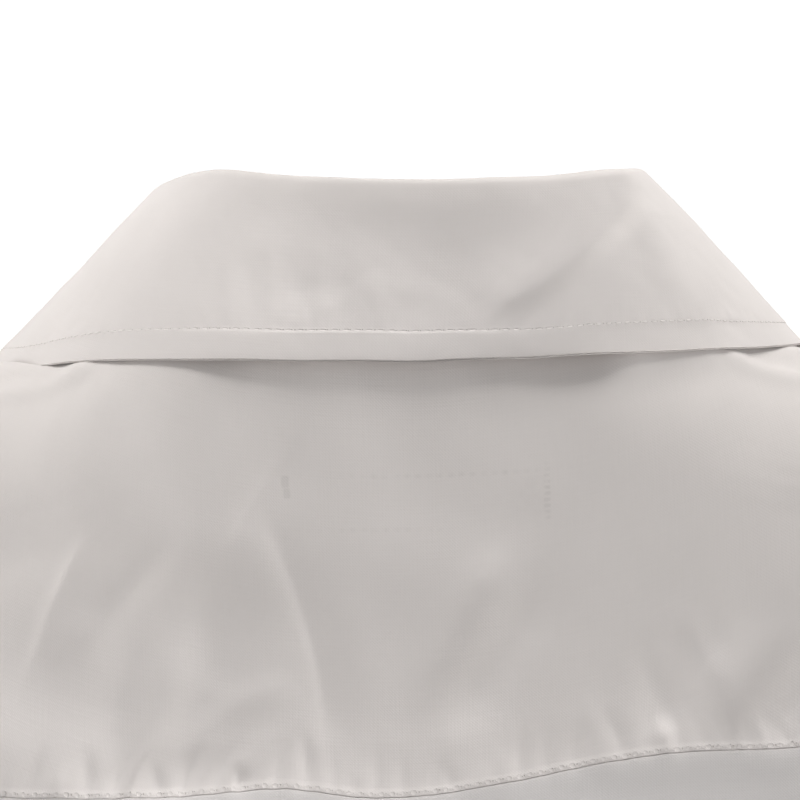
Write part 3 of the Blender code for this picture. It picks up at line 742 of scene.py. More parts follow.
def stitched_edge(grid, normals, inside, rise, depth=0.18, allowance=7.0, fall=5.0, width=0.9):
    """Raise an edge over its turned-under layers, and press it down along its stitches."""
    distance = from_last_row(grid) / MM
    height = rise * (1 - soft_step(distance, allowance - fall / 2, allowance + fall / 2))
    height = height - depth * np.exp(-((distance - inside) / width) ** 2)
    height = height - 0.5 * rise * (1 - soft_step(distance, 0.0, 0.5))
    return pushed(grid, height, normals)


def seam_strength(spot):
    """The yoke's seam puckers most about 50 mm to the wearer's left of the centre back."""
    across = spot[0] / MM
    return 0.45 + 0.75 * math.exp(-((across - 52) / 30) ** 2)


yoke_arm_turns = np.linspace(YOKE_FRONT_TURN, YOKE_BACK_TURN, 19)
seam_shares = spaced((0.0, 22), (0.17, 330), (0.83, 22), (1.0, 0))
arm_angles, arm_levels = armhole(yoke_arm_turns)
seam_angles, seam_levels = yoke_seam(seam_shares)
outer_angles = np.concatenate([arm_angles[:-1], seam_angles, 180.0 - arm_angles[-2::-1]])
outer_levels = np.concatenate([arm_levels[:-1], seam_levels, arm_levels[-2::-1]])
neck_share = (outer_angles - outer_angles[0]) / (outer_angles[-1] - outer_angles[0])
neck_angles = YOKE_FRONT_NECK + (180.0 - 2 * YOKE_FRONT_NECK) * neck_share
yoke_down = spaced((0.0, 8), (0.14, 74), (0.94, 18), (1.0, 0))[:, None]
yoke_down = 1.0 - (1.0 - yoke_down) ** YOKE_CROWDING
yoke_angles = neck_angles + (outer_angles - neck_angles) * yoke_down
yoke_levels = outer_levels * yoke_down
yoke_flat = form_point(yoke_angles, yoke_levels)
yoke_normals = form_normal(yoke_angles, yoke_levels)
seam_columns = slice(len(yoke_arm_turns) - 1, len(yoke_arm_turns) - 1 + len(seam_shares))
print("yoke's lower edge:", round(float(walked(yoke_flat[-1])[-1]), 3), "m, with its front corners")


# %% Crease the yoke and sew its edge down
seam_puckers = puckers(*inward_from(yoke_flat[:, seam_columns]), height=1.1, width=1.4, spacing=4.8,
                       reach=12.0, seed=5, strength=seam_strength)
yoke_grid = creased(yoke_flat, YOKE_CREASES + seam_puckers, yoke_normals)
yoke_grid = rippled(yoke_grid, *BODY_RIPPLE, normals=yoke_normals)
yoke_grid[:, seam_columns] = stitched_edge(
    yoke_grid[:, seam_columns], yoke_normals[:, seam_columns], YOKE_STITCH_INSIDE, SEAM_RISE,
    allowance=9.0, fall=8.0)
yoke_grid = drawn_in(yoke_grid, top=SEAM_DRAW, first_column=SEAM_DRAW, last_column=SEAM_DRAW)
yoke = add_cloth("yoke_cloth", yoke_grid)
print("yoke:", measured(yoke_grid), "and", len(seam_puckers), "puckers along its seam")

# %% [markdown]
# ## Back
#
# One plain panel. Its top edge is tucked under the yoke, so it starts a little above the seam and
# below the surface, and comes up to the form as it leaves the seam. The hem is turned twice and
# stitched.

# %% Make the back
TUCK = 5.0                     # millimetres of the back that lie under the yoke
TUCK_DEPTH = 0.42              # how far below the form they lie
HEM_DEPTH = 7.0
HEM_STITCH_INSIDE = 6.0
HEM_RISE = 0.5
THREAD_FURROW = 0.3


def hemmed(grid, normals):
    """A narrow hem, turned twice: thicker, with the thread's furrow near its top."""
    distance = from_last_row(grid) / MM
    height = HEM_RISE * (1 - soft_step(distance, HEM_DEPTH - 0.8, HEM_DEPTH + 0.8))
    return pushed(grid, height - THREAD_FURROW * np.exp(-(distance - HEM_STITCH_INSIDE) ** 2), normals)


back_shares = spaced((0.0, 24), (0.2, 170), (0.8, 24), (1.0, 0))
top_angles, top_levels = yoke_seam(back_shares)
armhole_share = spaced((0.0, 44), (0.16, 34), (1.0, 0))
arm_turns = YOKE_BACK_TURN + (180.0 - YOKE_BACK_TURN) * armhole_share
edge_angles, edge_levels = armhole(arm_turns)
down = (edge_levels - edge_levels[0]) / (ARMPIT_LEVEL - edge_levels[0])
back_levels = top_levels + (ARMPIT_LEVEL - top_levels) * down[:, None]
back_angles = edge_angles[:, None] + (180.0 - 2 * edge_angles[:, None]) * back_shares
body_down = spaced((ARMPIT_LEVEL, 66), (HEM_LEVEL - 0.08, 12), (HEM_LEVEL, 0))[1:]
back_levels = np.vstack([back_levels, np.repeat(body_down[:, None], len(back_shares), axis=1)])
back_angles = np.vstack([back_angles, np.repeat(back_angles[-1:], len(body_down), axis=0)])
tuck_level = level_at(down_at(top_levels) - TUCK * MM)
back_levels = np.vstack([tuck_level[None], (tuck_level[None] + 2 * back_levels[:1]) / 3, back_levels])
back_angles = np.vstack([back_angles[:1], back_angles[:1], back_angles])
back_normals = form_normal(back_angles, back_levels)
back_flat = form_point(back_angles, back_levels)
back_grid = creased(back_flat, YOKE_CREASES + BACK_CREASES + seam_puckers, back_normals)
back_grid = rippled(back_grid, *BODY_RIPPLE, normals=back_normals)
below_seam = down_at(back_levels) - down_at(top_levels)[None]
tucked = TUCK_DEPTH * (1 - soft_step(below_seam / MM, -1.0, 9.0))
back_grid = hemmed(pushed(back_grid, -tucked, back_normals), back_normals)
back_grid = drawn_in(back_grid, first_column=SEAM_DRAW, last_column=SEAM_DRAW)
back = add_cloth("back_cloth", back_grid)
print("back:", measured(back_grid))

# %% [markdown]
# ## Materials
#
# Poplin is a plain weave of fine thread: close to, it has a tiny checked relief, threads that are
# now a little thicker, now a little thinner, and a faint sheen at grazing light. It could be
# painted, but a pattern worked out from the panel's own map, in millimetres of cloth, stays sharp
# at any size and follows every fold. Arithmetic on the pattern is written as plain expressions: one
# small class wraps a socket, and each operator on it adds a Math node.

# %% A socket that can be calculated with
class Value:
    """A number that varies over a surface. Arithmetic on it adds Math nodes to its tree."""

    def __init__(self, tree, socket):
        self.tree, self.socket = tree, socket

    def math(self, operation, other=None, swapped=False):
        values = [self] if other is None else [self, other]
        if swapped:
            values.reverse()
        return self.node("ShaderNodeMath", dict(enumerate(values)), operation=operation)

    __add__ = partialmethod(math, "ADD")
    __radd__ = partialmethod(math, "ADD", swapped=True)
    __sub__ = partialmethod(math, "SUBTRACT")
    __rsub__ = partialmethod(math, "SUBTRACT", swapped=True)
    __mul__ = partialmethod(math, "MULTIPLY")
    __rmul__ = partialmethod(math, "MULTIPLY", swapped=True)

    def split(self):
        """The three numbers of a vector."""
        outputs = add_node(self.tree, "ShaderNodeSeparateXYZ", {0: self.socket})
        return [Value(self.tree, output) for output in outputs]

    def node(self, kind, inputs=(), output=0, **settings):
        """Any node, from its settings and the values or links of its sockets."""
        inputs = {name: getattr(value, "socket", value) for name, value in dict(inputs).items()}
        return Value(self.tree, add_node(self.tree, kind, inputs, **settings)[output])

    def to(self, shader, name):
        self.tree.links.new(self.socket, shader.inputs[name])


def start_tree(material):
    """The first value of a tree, from which its other nodes are made."""
    return Value(material.node_tree, None)


def mixed(factor, dark, light):
    """A colour between two, by a factor."""
    return factor.node("ShaderNodeMix", {0: factor, 6: (*dark, 1.0), 7: (*light, 1.0)}, 2,
                       data_type="RGBA")


# %% Poplin, thread, tape and button
THREAD_PITCH = 0.34            # millimetres between the threads of the weave
WHITE_LIGHT = (0.86, 0.808, 0.784)
WHITE_DARK = (0.74, 0.694, 0.670)


def woven(material, shader, relief, slub, light, dark, shade):
    """Weave relief, thick and thin threads, and faint cloudy unevenness, from the cloth map."""
    flat = start_tree(material).node("ShaderNodeUVMap", uv_map="cloth")
    scaled = flat.node("ShaderNodeVectorMath", {0: flat, 3: 1.0 / MM}, operation="SCALE")
    across, down, _ = scaled.split()
    turn = math.pi / THREAD_PITCH
    weave = (across * turn).math("SINE") * (down * turn).math("SINE")

    def noise(place, scale, detail):
        return flat.node("ShaderNodeTexNoise", {"Vector": place, "Scale": scale, "Detail": detail},
                         noise_dimensions="2D") - 0.5

    def threads(along, beside):
        place = flat.node("ShaderNodeCombineXYZ", {0: along * 0.09, 1: beside * 2.3, 2: 0.0})
        return noise(place, 1.0, 2.0)

    weft, warp = threads(across, down), threads(down, across)
    cloud = noise(scaled, 0.055, 3.0)
    tone = 0.62 + slub * (weft + warp) + 0.35 * cloud + 0.03 * weave
    # Where a painted shadow is given, such as the label's seen through the cloth, it darkens the tone.
    if shade is not None:
        tone = tone - shade(flat)
    colour = mixed(tone.node("ShaderNodeClamp", {0: tone}), dark, light)
    colour.to(shader, "Base Color")
    height = 0.5 * weave + 1.4 * (weft + warp)
    bump = flat.node("ShaderNodeBump", {"Height": height, "Strength": relief, "Distance": 0.00006})
    bump.to(shader, "Normal")
    (0.78 + 0.14 * cloud).to(shader, "Roughness")


def cloth_material(name, relief, slub, light=WHITE_LIGHT, dark=WHITE_DARK, shade=None):
    material, shader = new_material(name, {"Sheen Weight": 0.12, "Sheen Roughness": 0.45,
                                           "Specular IOR Level": 0.28})
    woven(material, shader, relief, slub, light, dark, shade)
    return material


# Painted shadow where the blank label and its stitches inside show faintly through the yoke: how
# far across and up, then half its width and height, in metres, how dark it is, and its dots for
# each metre across and up.
LABEL_SHADOW_MARKS = (
    (0.0269, -0.0107, 0.0008, 0.0011, 1.5, 0, 0),
    (0.0266, -0.0131, 0.0007, 0.001, 1.3, 0, 0),
    (-0.03, -0.0145, 0.0007, 0.0052, 0.85, 0, 800),
    (-0.0255, -0.0152, 0.0055, 0.005, 0.15, 0, 0),
    (-0.008, -0.0096, 0.023, 0.0005, 0.3, 420, 0),
    (0.008, -0.0208, 0.016, 0.0005, 0.2, 420, 0),
)


def label_painted_shadow(flat):
    """Painted shadow at the label's ends and along its edges, through the cloth, on the back only."""
    place = flat.node("ShaderNodeTexCoord", output="Object")
    across, depth, height = place.split()
    at_back = depth.math("GREATER_THAN", 0.0)
    total = None
    for side, up, wide, high, strength, dots_across, dots_up in LABEL_SHADOW_MARKS:
        x, z = (across - side) * (1.0 / wide), (height - up) * (1.0 / high)
        x, z = x * x, z * z
        spot = (0.0 - (x * x + z * z)).math("EXPONENT") * strength
        for way, dots in ((across, dots_across), (height, dots_up)):
            if dots:
                spot = spot * (0.5 + 0.5 * (way * (2 * math.pi * dots)).math("SINE"))
        total = spot if total is None else total + spot
    patchy = flat.node("ShaderNodeTexNoise", {"Vector": place, "Scale": 420.0, "Detail": 2.0})
    return total * at_back * (patchy * 3.4 - 0.9).math("MAXIMUM", 0.0)


poplin = cloth_material("white_poplin", 0.35, 0.10)
# The yoke's cloth also carries the painted shadow of the label inside it.
yoke_poplin = cloth_material("yoke_poplin", 0.35, 0.10, shade=label_painted_shadow)
back_poplin = cloth_material("back_poplin", 0.35, 0.10, (0.80, 0.765, 0.750), (0.68, 0.650, 0.638))
collar_poplin = cloth_material("collar_poplin", 0.25, 0.07,
                               (0.89, 0.836, 0.811), (0.77, 0.722, 0.697))
label_tape = cloth_material("label_tape", 0.8, 0.25, (0.80, 0.79, 0.78), (0.66, 0.65, 0.64))


def noise_within(material, scale, **more):
    """Noise in a piece's own coordinates."""
    place = start_tree(material).node("ShaderNodeTexCoord", output="Object")
    return place.node("ShaderNodeTexNoise", {"Vector": place, "Scale": scale, **more})


def thread_finish():
    """Twisted thread: a fine uneven relief, a little glossier than the cloth."""
    material, shader = new_material("white_thread", {
        "Base Color": (0.89, 0.838, 0.813, 1.0), "Sheen Weight": 0.2, "Specular IOR Level": 0.3})
    twist = noise_within(material, 9000.0, Detail=1.0)
    bump = twist.node("ShaderNodeBump", {"Height": twist, "Strength": 0.3, "Distance": 0.00005})
    bump.to(shader, "Normal")
    (0.5 + 0.2 * twist).to(shader, "Roughness")
    return material


def pearl_finish():
    """Moulded imitation pearl: cloudy and glossy."""
    material, shader = new_material("button_pearl", {"Coat Weight": 0.5, "Coat Roughness": 0.08})
    cloud = noise_within(material, 240.0, Detail=4.0, Distortion=1.6)
    mixed(cloud, (0.78, 0.75, 0.70), (0.93, 0.92, 0.89)).to(shader, "Base Color")
    (0.16 + 0.16 * cloud).to(shader, "Roughness")
    return material


thread_material = thread_finish()
# Painted shade of the hollow that a needle leaves: a dark shape laid on the cloth.
hole_shade_material, _ = new_material("needle_hole", {
    "Base Color": (0.64, 0.60, 0.575, 1.0), "Roughness": 1.0, "Specular IOR Level": 0.0})
pearl = pearl_finish()
print("materials:", ", ".join(material.name for material in bpy.data.materials))

# %% [markdown]
# ## Collar stand
#
# The stand is the upright band that carries the collar. It follows the neck seam at its foot and a
# rounder, smaller row at its top. Its two ends lap at the centre front under the collar's button,
# left over right, so the left end is lifted by the thickness that it covers.

# %% Make the stand
STAND_TOP = (0.0546, 0.0625, 0.0660, 0.0215, 0.0505, -0.0230, 2.35)   # a row, as the form's are
STAND_WALL = 1.3               # millimetres
STAND_DRAW = 0.3
COLLAR_SHIFT = -0.0015         # the collar has slipped a little to the wearer's right
# Angle from the centre back to the wearer's right, and how far the fold rises there, in millimetres.
FOLD_RISE = ((-180, 0.0), (-110, 0.0), (-90, 0.0), (-75, 0.3), (-60, 0.9), (-45, 1.8), (-25, -0.9),
             (0, -2.6), (25, -1.6), (45, 0.0), (60, 1.2), (75, 2.2), (90, 1.0), (110, 0.0), (180, 0.0))
OVERLAP = 0.017                # metres that each end runs past the centre front
OVERLAP_LIFT = 0.0022          # how far the left one is lifted, and where the lift starts and ends
LIFT_START = 0.042
LIFT_FULL = 0.022


def plan_outward(angles):
    return np.stack([np.cos(np.radians(angles)), np.sin(np.radians(angles)), 0 * angles], axis=-1)


def lap_angle(level, reach):
    """How far round the form, in degrees, a reach in metres to the left of the centre is."""
    return np.degrees(np.arcsin(reach / read_form("half_width", level)))


def lap_share(x):
    """How much of the overlap's lift a point has, by its distance to the left of the centre."""
    return 1.0 - soft_step(x, LIFT_FULL, LIFT_START)


def lapped(angles, points, outward):
    left = (angles < 0)[..., None] * lap_share(points[..., 0:1])
    return points + left * OVERLAP_LIFT * outward


def slipped(points):
    """Points with the collar's slip to the side, which fades out towards the front."""
    shift = COLLAR_SHIFT * soft_step(points[..., 1], -0.03, 0.02)
    return points + shift[..., None] * np.array([1.0, 0.0, 0.0])


def fold_line(angles):
    """The stand's top edge, which sags at the centre back and peaks at its two back corners."""
    rise = np.array(FOLD_RISE)
    points = ring_point(angles, *STAND_TOP)
    from_back = np.mod(np.asarray(angles) - BACK + 180.0, 360.0) - 180.0
    points[..., 2] += smooth(rise[:, 0], rise[:, 1] * MM, from_back)
    return slipped(points)


def stand_points(angles, share):
    """Outer face of the stand, from the neck seam (0) to its top (1)."""
    neck = lapped(angles, form_point(angles, 0.0), form_normal(angles, 0.0))
    top = lapped(angles, fold_line(angles), plan_outward(angles))
    return neck + (top - neck) * share


stand_first = FRONT - lap_angle(0.0, OVERLAP)
stand_angles = np.linspace(stand_first, 360.0 + FRONT + lap_angle(0.0, OVERLAP), 181)
stand_shares = spaced((1.0, 4), (0.9, 18), (0.1, 4), (0.0, 0))
stand_grid = np.array([stand_points(stand_angles, share) for share in stand_shares])
stand_grid = rippled(stand_grid, 0.06, 18.0, seed=21)
stand_grid = stitched_edge(stand_grid, grid_normals(stand_grid), 2.0, 0.1, depth=0.12)
stand_grid = drawn_in(stand_grid, top=STAND_DRAW, bottom=STAND_DRAW)
stand = add_cloth("collar_stand_cloth", stand_grid, STAND_WALL * MM)
print("stand:", measured(stand_grid))

# %% [markdown]
# ## Collar leaf
#
# The leaf is the part that turns down. Two layers and an interlining make it stiffer than the rest,
# so it has no sharp creases: it bows out a little from its fold, stands off the yoke, and its edge
# lies in one long line that dips and rises by a millimetre or two. A row of stitches runs 7 mm
# inside the edge. The interlining stops at them, so the band outside is a touch thinner. The sheet
# goes from the stand over the fold and down to the edge, and only then is pushed about.
# Sizes here are in metres where they place the sheet, and in millimetres where they finish it.

# %% Lay out the leaf
LEAF_WALL = 0.90               # millimetres
LEAF_STITCH_INSIDE = 7.0
ROLL_RADIUS = 0.0019
ROLL_RISE = 0.0009
ROLL_STEPS = 15
ROLL_TOP, ROLL_END = 7, 17     # the sheet's rows from the top of the roll to just past its end
LEAF_BULGE = 0.0030            # at the centre back, and at the sides
SIDE_BULGE = 0.0006
BOW_PEAK = 6.75                # makes the bow a third of the way down as high as its bulge
LEFT_SINK = 0.003              # the left end settles into a hollow of the yoke
LEAF_END_ANGLE = 84.0          # where its ends start on the stand, beyond the sides
FRAME_STAND_WALL = 0.0018
SEAM_GAP = 0.0003
LEAF_EDGE_COLUMNS = ("around", "form_angle", "form_level", "lift")
LEAF_EDGE = (
    (0.00, 0.0, 0.23, 0.0048),
    (0.04, 5.8, 0.23, 0.0048),
    (0.15, 22.0, 0.27, 0.0048),
    (0.30, 46.0, 0.36, 0.0042),
    (0.42, 66.0, 0.41, 0.0028),
    (0.55, 90.0, 0.43, 0.0020),
    (0.70, 113.0, 0.58, 0.0030),
    (0.86, 135.0, 0.92, 0.0036),
    (1.00, 149.0, 1.26, 0.0036),
)
# Distance to the wearer's left of the centre back, and how far the edge hangs below its plain line.
EDGE_WANDER = ((-110, 2.0), (-86, 2.3), (-76, 1.3), (-60, 0.0), (-40, -0.4), (-20, 0.3), (0, 0.7),
               (20, 0.1), (40, -0.7), (60, -0.4), (74, 0.8), (81, 1.5), (88, 2.2), (110, 2.2))
# Where along the edge a line of the leaf ends, and where along the fold it starts. The lines fan
# out from the right-hand corner of the fold, so that side of the leaf is a flat facet.
FAN = ((-1.0, -1.0), (-0.8, -0.79), (-0.6, -0.57), (-0.46, -0.43), (-0.30, -0.335), (-0.20, -0.255),
       (-0.10, -0.13), (0.0, 0.02), (0.07, 0.17), (0.15, 0.27), (0.30, 0.36), (0.46, 0.43),
       (0.60, 0.56), (0.80, 0.79), (1.0, 1.0))
read_leaf_edge = table_reader(LEAF_EDGE, LEAF_EDGE_COLUMNS)


def leaf_edge(around):
    """The line over the form where the leaf's edge lies; around is -1 to 1, 0 at the centre back."""
    place = np.abs(around)
    angles = BACK + np.sign(around) * read_leaf_edge("form_angle", place)
    levels = read_leaf_edge("form_level", place)
    wander = np.array(EDGE_WANDER) * MM
    plain = form_point(angles, levels)
    drop = smooth(wander[:, 0], wander[:, 1], plain[:, 0]) * soft_step(plain[:, 1], -0.045, 0.015)
    levels = level_at(down_at(levels) + drop)
    lift = read_leaf_edge("lift", place) - LEFT_SINK * np.exp(-((around + 0.48) / 0.11) ** 2)
    return slipped(form_point(angles, levels) + form_normal(angles, levels) * lift[:, None])


def leaf_rows(around):
    """From the seam on the stand, over the fold, and down to the edge: the middle of the wall."""
    fan = np.array(FAN)
    fold_angles = BACK + smooth(fan[:, 0], fan[:, 1], around) * (90.0 + LEAF_END_ANGLE)
    outward, up = plan_outward(fold_angles), np.array([0.0, 0.0, 1.0])
    seat = stand_points(fold_angles, 1.0) - outward * FRAME_STAND_WALL / 2 + up * SEAM_GAP
    middle = seat + outward * ROLL_RADIUS + up * ROLL_RISE
    edge = leaf_edge(around)
    bulge = SIDE_BULGE + (LEAF_BULGE - SIDE_BULGE) * np.exp(-(around / 0.25) ** 2)
    # The roll ends where it already points down the leaf, so no ridge shows below the fold.
    out = ((edge - middle) * outward).sum(axis=1)
    drop = middle[:, 2] - edge[:, 2]
    reach = np.hypot(out, drop)
    last_bend = np.arccos(ROLL_RADIUS / reach) - np.arctan2(drop, out) + BOW_PEAK * bulge / reach
    rows = [seat]
    for share in np.linspace(0.0, 1.0, ROLL_STEPS):
        bend = (math.pi + (last_bend - math.pi) * share)[:, None]
        rows.append(middle + (np.cos(bend) * outward + np.sin(bend) * up) * ROLL_RADIUS)
    top = rows[-1]
    bow = unit(np.cross(edge - top, np.gradient(edge, axis=0))) * bulge[:, None]
    for share in spaced((0.0, 40), (0.76, 2), (0.795, 12), (0.84, 6), (0.98, 4), (1.0, 0))[1:]:
        rows.append(top + (edge - top) * share + BOW_PEAK * share * (1 - share) ** 2 * bow)
    return np.array(rows)


leaf_around = spaced((-1.0, 70), (-0.42, 230), (0.42, 70), (1.0, 0))
leaf_middle = leaf_rows(leaf_around)
leaf_normals = grid_normals(leaf_middle)
leaf_flat = leaf_middle + leaf_normals * LEAF_WALL * MM / 2
print("leaf's edge:", round(float(walked(leaf_flat[-1])[-1]), 3), "m")


# %% Push the leaf about
STITCHED_ROW = -20             # a row of the leaf beside its stitches
BEHIND_NECK = slice(60, 311)   # the columns of the leaf that lie behind the neck


def leaf_spot(across, above):
    """The point a number of millimetres to the left of the centre back and above the leaf's edge."""
    places = leaf_flat[STITCHED_ROW, BEHIND_NECK, 0] / MM
    line = leaf_flat[::-1, BEHIND_NECK.start + int(np.argmin(np.abs(places - across)))]
    return vector_at(above * MM, walked(line), line)


LEAF_CREASES = creases_in(leaf_spot,
    # The leaf rounds over to each side along a soft line from the fold's corner.
    (0.55, 12, 7, 2, 0.2, (44, 38), (50, 28), (58, 17), (66, 6)),
    (0.6, 6, 12, 2, 0.2, (-54, 38), (-58, 27), (-64, 16), (-72, 5)),
    # A trough from the right-hand corner down to the middle, and the facet beyond it.
    (-1.3, 13, 3.4, 1.8, 0.2, (-58, 40), (-46, 33), (-36.5, 27), (-30.5, 22), (-25, 17.5), (-20, 14),
     (-15.5, 9)),
    (0.6, 3.4, 12, 1.9, 0.2, (-64, 34), (-50, 28), (-40, 22), (-33, 16), (-27, 10), (-22, 5)),
    # The roll of the fold spreads down the leaf left of the centre and leaves a shallow hollow.
    (-0.85, 7, 8, 2, 0.3, (45, 33), (36, 27.5), (25, 26), (14, 22.5), (5, 15), (0, 8)),
    # Upright unevenness where the interlining has loosened, left of the centre.
    (-0.16, 1.8, 2.2, 2, 0.35, (37, 26), (38, 16), (38, 7)),
    (0.14, 1.8, 1.8, 2, 0.35, (33, 24), (33, 14), (34, 7)),
    (-0.18, 1.9, 1.9, 2, 0.35, (28, 28), (28, 17), (29, 7)),
    (0.15, 1.8, 2, 2, 0.35, (23, 24), (23, 15), (24, 7)),
    (-0.15, 1.8, 1.8, 2, 0.35, (18, 26), (18, 16), (19, 7)),
    (0.12, 2, 1.8, 2, 0.35, (13, 22), (13, 14), (14, 7)),
    (-0.12, 2, 2, 2, 0.35, (7, 22), (7, 14), (8, 7)),
    (0.35, 14, 14, 2, 0.35, (24, 30), (20, 20), (18, 10)),
    (-0.25, 12, 10, 2, 0.35, (2, 34), (0, 22), (2, 10)),
)
# A crease across its fall on either side of the front, out of sight from behind.
LEAF_CREASES += creases_in(form_point,
    (-0.5, 9, 9, 2, 0.35, (-40, 0.2), (-46, 0.6), (-52, 1)),
    (-0.5, 9, 9, 2, 0.35, (220, 0.2), (227, 0.5), (233, 0.9)),
)
leaf_stitch_line = line_inside(leaf_flat, LEAF_STITCH_INSIDE)[0]
leaf_inward = inward_from(leaf_flat, 2 * LEAF_STITCH_INSIDE)[1]
leaf_puckers = puckers(leaf_stitch_line, leaf_inward, height=0.09, width=0.9, spacing=3.4, reach=4.5,
                       seed=8)
leaf_pushed = creased(leaf_flat, LEAF_CREASES + leaf_puckers, leaf_normals)
# The creases fade out over the roll, where the fold is held up by the top of the stand.
past_fold = soft_step(np.arange(len(leaf_flat)), ROLL_TOP, ROLL_END)[:, None, None]
leaf_grid = leaf_flat + (leaf_pushed - leaf_flat) * past_fold
leaf_grid = rippled(leaf_grid, 0.07, 22.0, seed=31, normals=leaf_normals)
leaf_grid = rippled(leaf_grid, 0.02, 5.0, seed=33, normals=leaf_normals)
leaf_grid = stitched_edge(leaf_grid, leaf_normals, LEAF_STITCH_INSIDE, -0.18, depth=0.04,
                          allowance=LEAF_STITCH_INSIDE - 0.45, fall=0.6, width=0.4)
leaf = add_cloth("collar_leaf_cloth", leaf_grid, LEAF_WALL * MM, rounding=0.4)
print("leaf:", measured(leaf_grid))

# %% [markdown]
# ## Fronts
#
# The two fronts are one pattern, cut twice. Each runs past the centre by the overlap, and the left
# one lies on top, lifted by what it covers. Its edge is turned under and stitched down 35 mm in,
# which makes the band that carries the buttonholes. The frame's buttons keep their places, so the
# cloth of both fronts is drawn to the back of each one, as its thread would draw it.

# %% The creases of the fronts and the sides
FRONT_CREASES = creases_in(front_spot,
    # All of these lie within a fifth of a millimetre of the centre front, down the button band.
    (1.8, 10, 14, 2, 0.4, (0.05, 1), (0.062, 2), (0.07, 3), (0.072, 4)),
    (-1.8, 12, 12, 2, 0.4, (0.074, 1.2), (0.09, 2.1), (0.102, 3), (0.108, 3.8)),
    (2.2, 12, 14, 2, 0.4, (0.118, 1.9), (0.128, 2.6), (0.132, 3.4)),
    (-2.2, 14, 12, 2, 0.4, (0.06, 4), (0.056, 5), (0.052, 6), (0.056, 6.9)),
    (2.4, 14, 16, 2, 0.4, (0.092, 4.1), (0.09, 5), (0.094, 6), (0.098, 6.95)),
    (-2, 12, 16, 2, 0.4, (0.126, 4.3), (0.122, 5.2), (0.128, 6.2), (0.134, 6.9)),
    (1.8, 9, 12, 1.8, 0.35, (0.168, 4), (0.134, 4.3), (0.1, 4.6), (0.07, 4.8)),
    (1.3, 8, 12, 1.8, 0.35, (0.046, 5.2), (0.08, 5.35), (0.12, 5.3), (0.15, 5.15)),
    (-1.8, 12, 16, 2, 0.4, (-0.06, 0.9), (-0.072, 2), (-0.08, 3.1), (-0.08, 4)),
    (1.9, 12, 12, 2, 0.4, (-0.084, 1.1), (-0.098, 2), (-0.108, 3), (-0.112, 3.9)),
    (2.3, 14, 12, 2, 0.4, (-0.064, 4.1), (-0.06, 5.1), (-0.062, 6.1), (-0.066, 6.9)),
    (-2.2, 12, 14, 2, 0.4, (-0.098, 4), (-0.094, 5), (-0.1, 6), (-0.104, 6.9)),
    (1.9, 12, 14, 2, 0.4, (-0.132, 4.5), (-0.13, 5.4), (-0.136, 6.3), (-0.14, 6.9)),
    (1.7, 12, 9, 1.8, 0.35, (-0.166, 4), (-0.13, 4.25), (-0.096, 4.5), (-0.066, 4.75)),
    (1.2, 12, 8, 1.8, 0.35, (-0.044, 5.5), (-0.08, 5.6), (-0.118, 5.5)),
)
SIDE_CREASES = creases_in(form_point,
    (2.4, 14, 16, 2, 0.4, (6, 4.2), (8, 5), (6, 6), (8, 6.9)),
    (-2, 12, 14, 2, 0.4, (24, 4.3), (27, 5.2), (26, 6.2), (28, 6.9)),
    (-2.2, 14, 12, 2, 0.4, (-16, 4.3), (-18, 5.2), (-15, 6.2), (-16, 6.9)),
    (2.2, 16, 12, 2, 0.4, (175, 4.3), (172, 5.1), (174, 6), (171, 6.9)),
    (-2, 14, 12, 2, 0.4, (155, 4.3), (153, 5.2), (155, 6.2), (152, 6.9)),
    (-2.2, 12, 14, 2, 0.4, (196, 4.3), (199, 5.2), (196, 6.2), (197, 6.9)),
)
print(len(FRONT_CREASES), "creases on the fronts and", len(SIDE_CREASES), "at the sides")

# %% Lay out a front
FRONT_BAND_WIDTH = 35.0        # millimetres from the centre edge to the end of the band
BAND_STITCH_INSIDE = FRONT_BAND_WIDTH - 1.0
BAND_RISE = 0.4
BUTTON_PULL = 0.016            # how far round a button the cloth is drawn to it, in metres
BELOW_BUTTON = 0.0003          # from a button's back to the left front
front_buttons = [f"button_front_{index}" for index in range(1, 8)]


def front_row(levels, share, edge_angle, band):
    """Angles across one row: the band's columns, then those out to the armhole or the side."""
    band_angles = FRONT + lap_angle(levels[:len(band)], band)
    return np.concatenate([band_angles[:-1], band_angles[-1] + (edge_angle - band_angles[-1]) * share])


def front_layout():
    """Angles and levels of the left front, from its centre edge round to the side seam."""
    band = spaced((-OVERLAP, 6), (-OVERLAP + 0.003, 20), (0.043, 0))
    yoke_share = 1.0 - (1.0 - np.linspace(0.0, 1.0, 33)) ** YOKE_CROWDING
    seam_angle, seam_level = armhole(YOKE_FRONT_TURN)
    seam_angles = YOKE_FRONT_NECK + (seam_angle - YOKE_FRONT_NECK) * yoke_share
    neck_angles = np.linspace(FRONT + lap_angle(0.0, band[-1]), YOKE_FRONT_NECK, 19)
    top_angles = np.concatenate([neck_angles, seam_angles[1:]])
    top_levels = np.concatenate([0 * band[:-1], 0 * neck_angles, seam_level * yoke_share[1:]])
    top_share = (top_angles - top_angles[0]) / (top_angles[-1] - top_angles[0])
    even_share = np.linspace(0.0, 1.0, len(top_angles))
    edge_angles, edge_levels = armhole(np.linspace(YOKE_FRONT_TURN, -180.0, 53))
    downs = (edge_levels - edge_levels[0]) / (ARMPIT_LEVEL - edge_levels[0])
    rows = []
    for down, edge_angle in zip(downs, edge_angles):
        share = top_share + (even_share - top_share) * down ** 0.5
        levels = top_levels + (ARMPIT_LEVEL - top_levels) * down
        rows.append((front_row(levels, share, edge_angle, band), levels))
    for level in body_down:
        levels = np.full(len(top_levels), level)
        rows.append((front_row(levels, even_share, edge_angles[-1], band), levels))
    return (np.array(part) for part in zip(*rows))


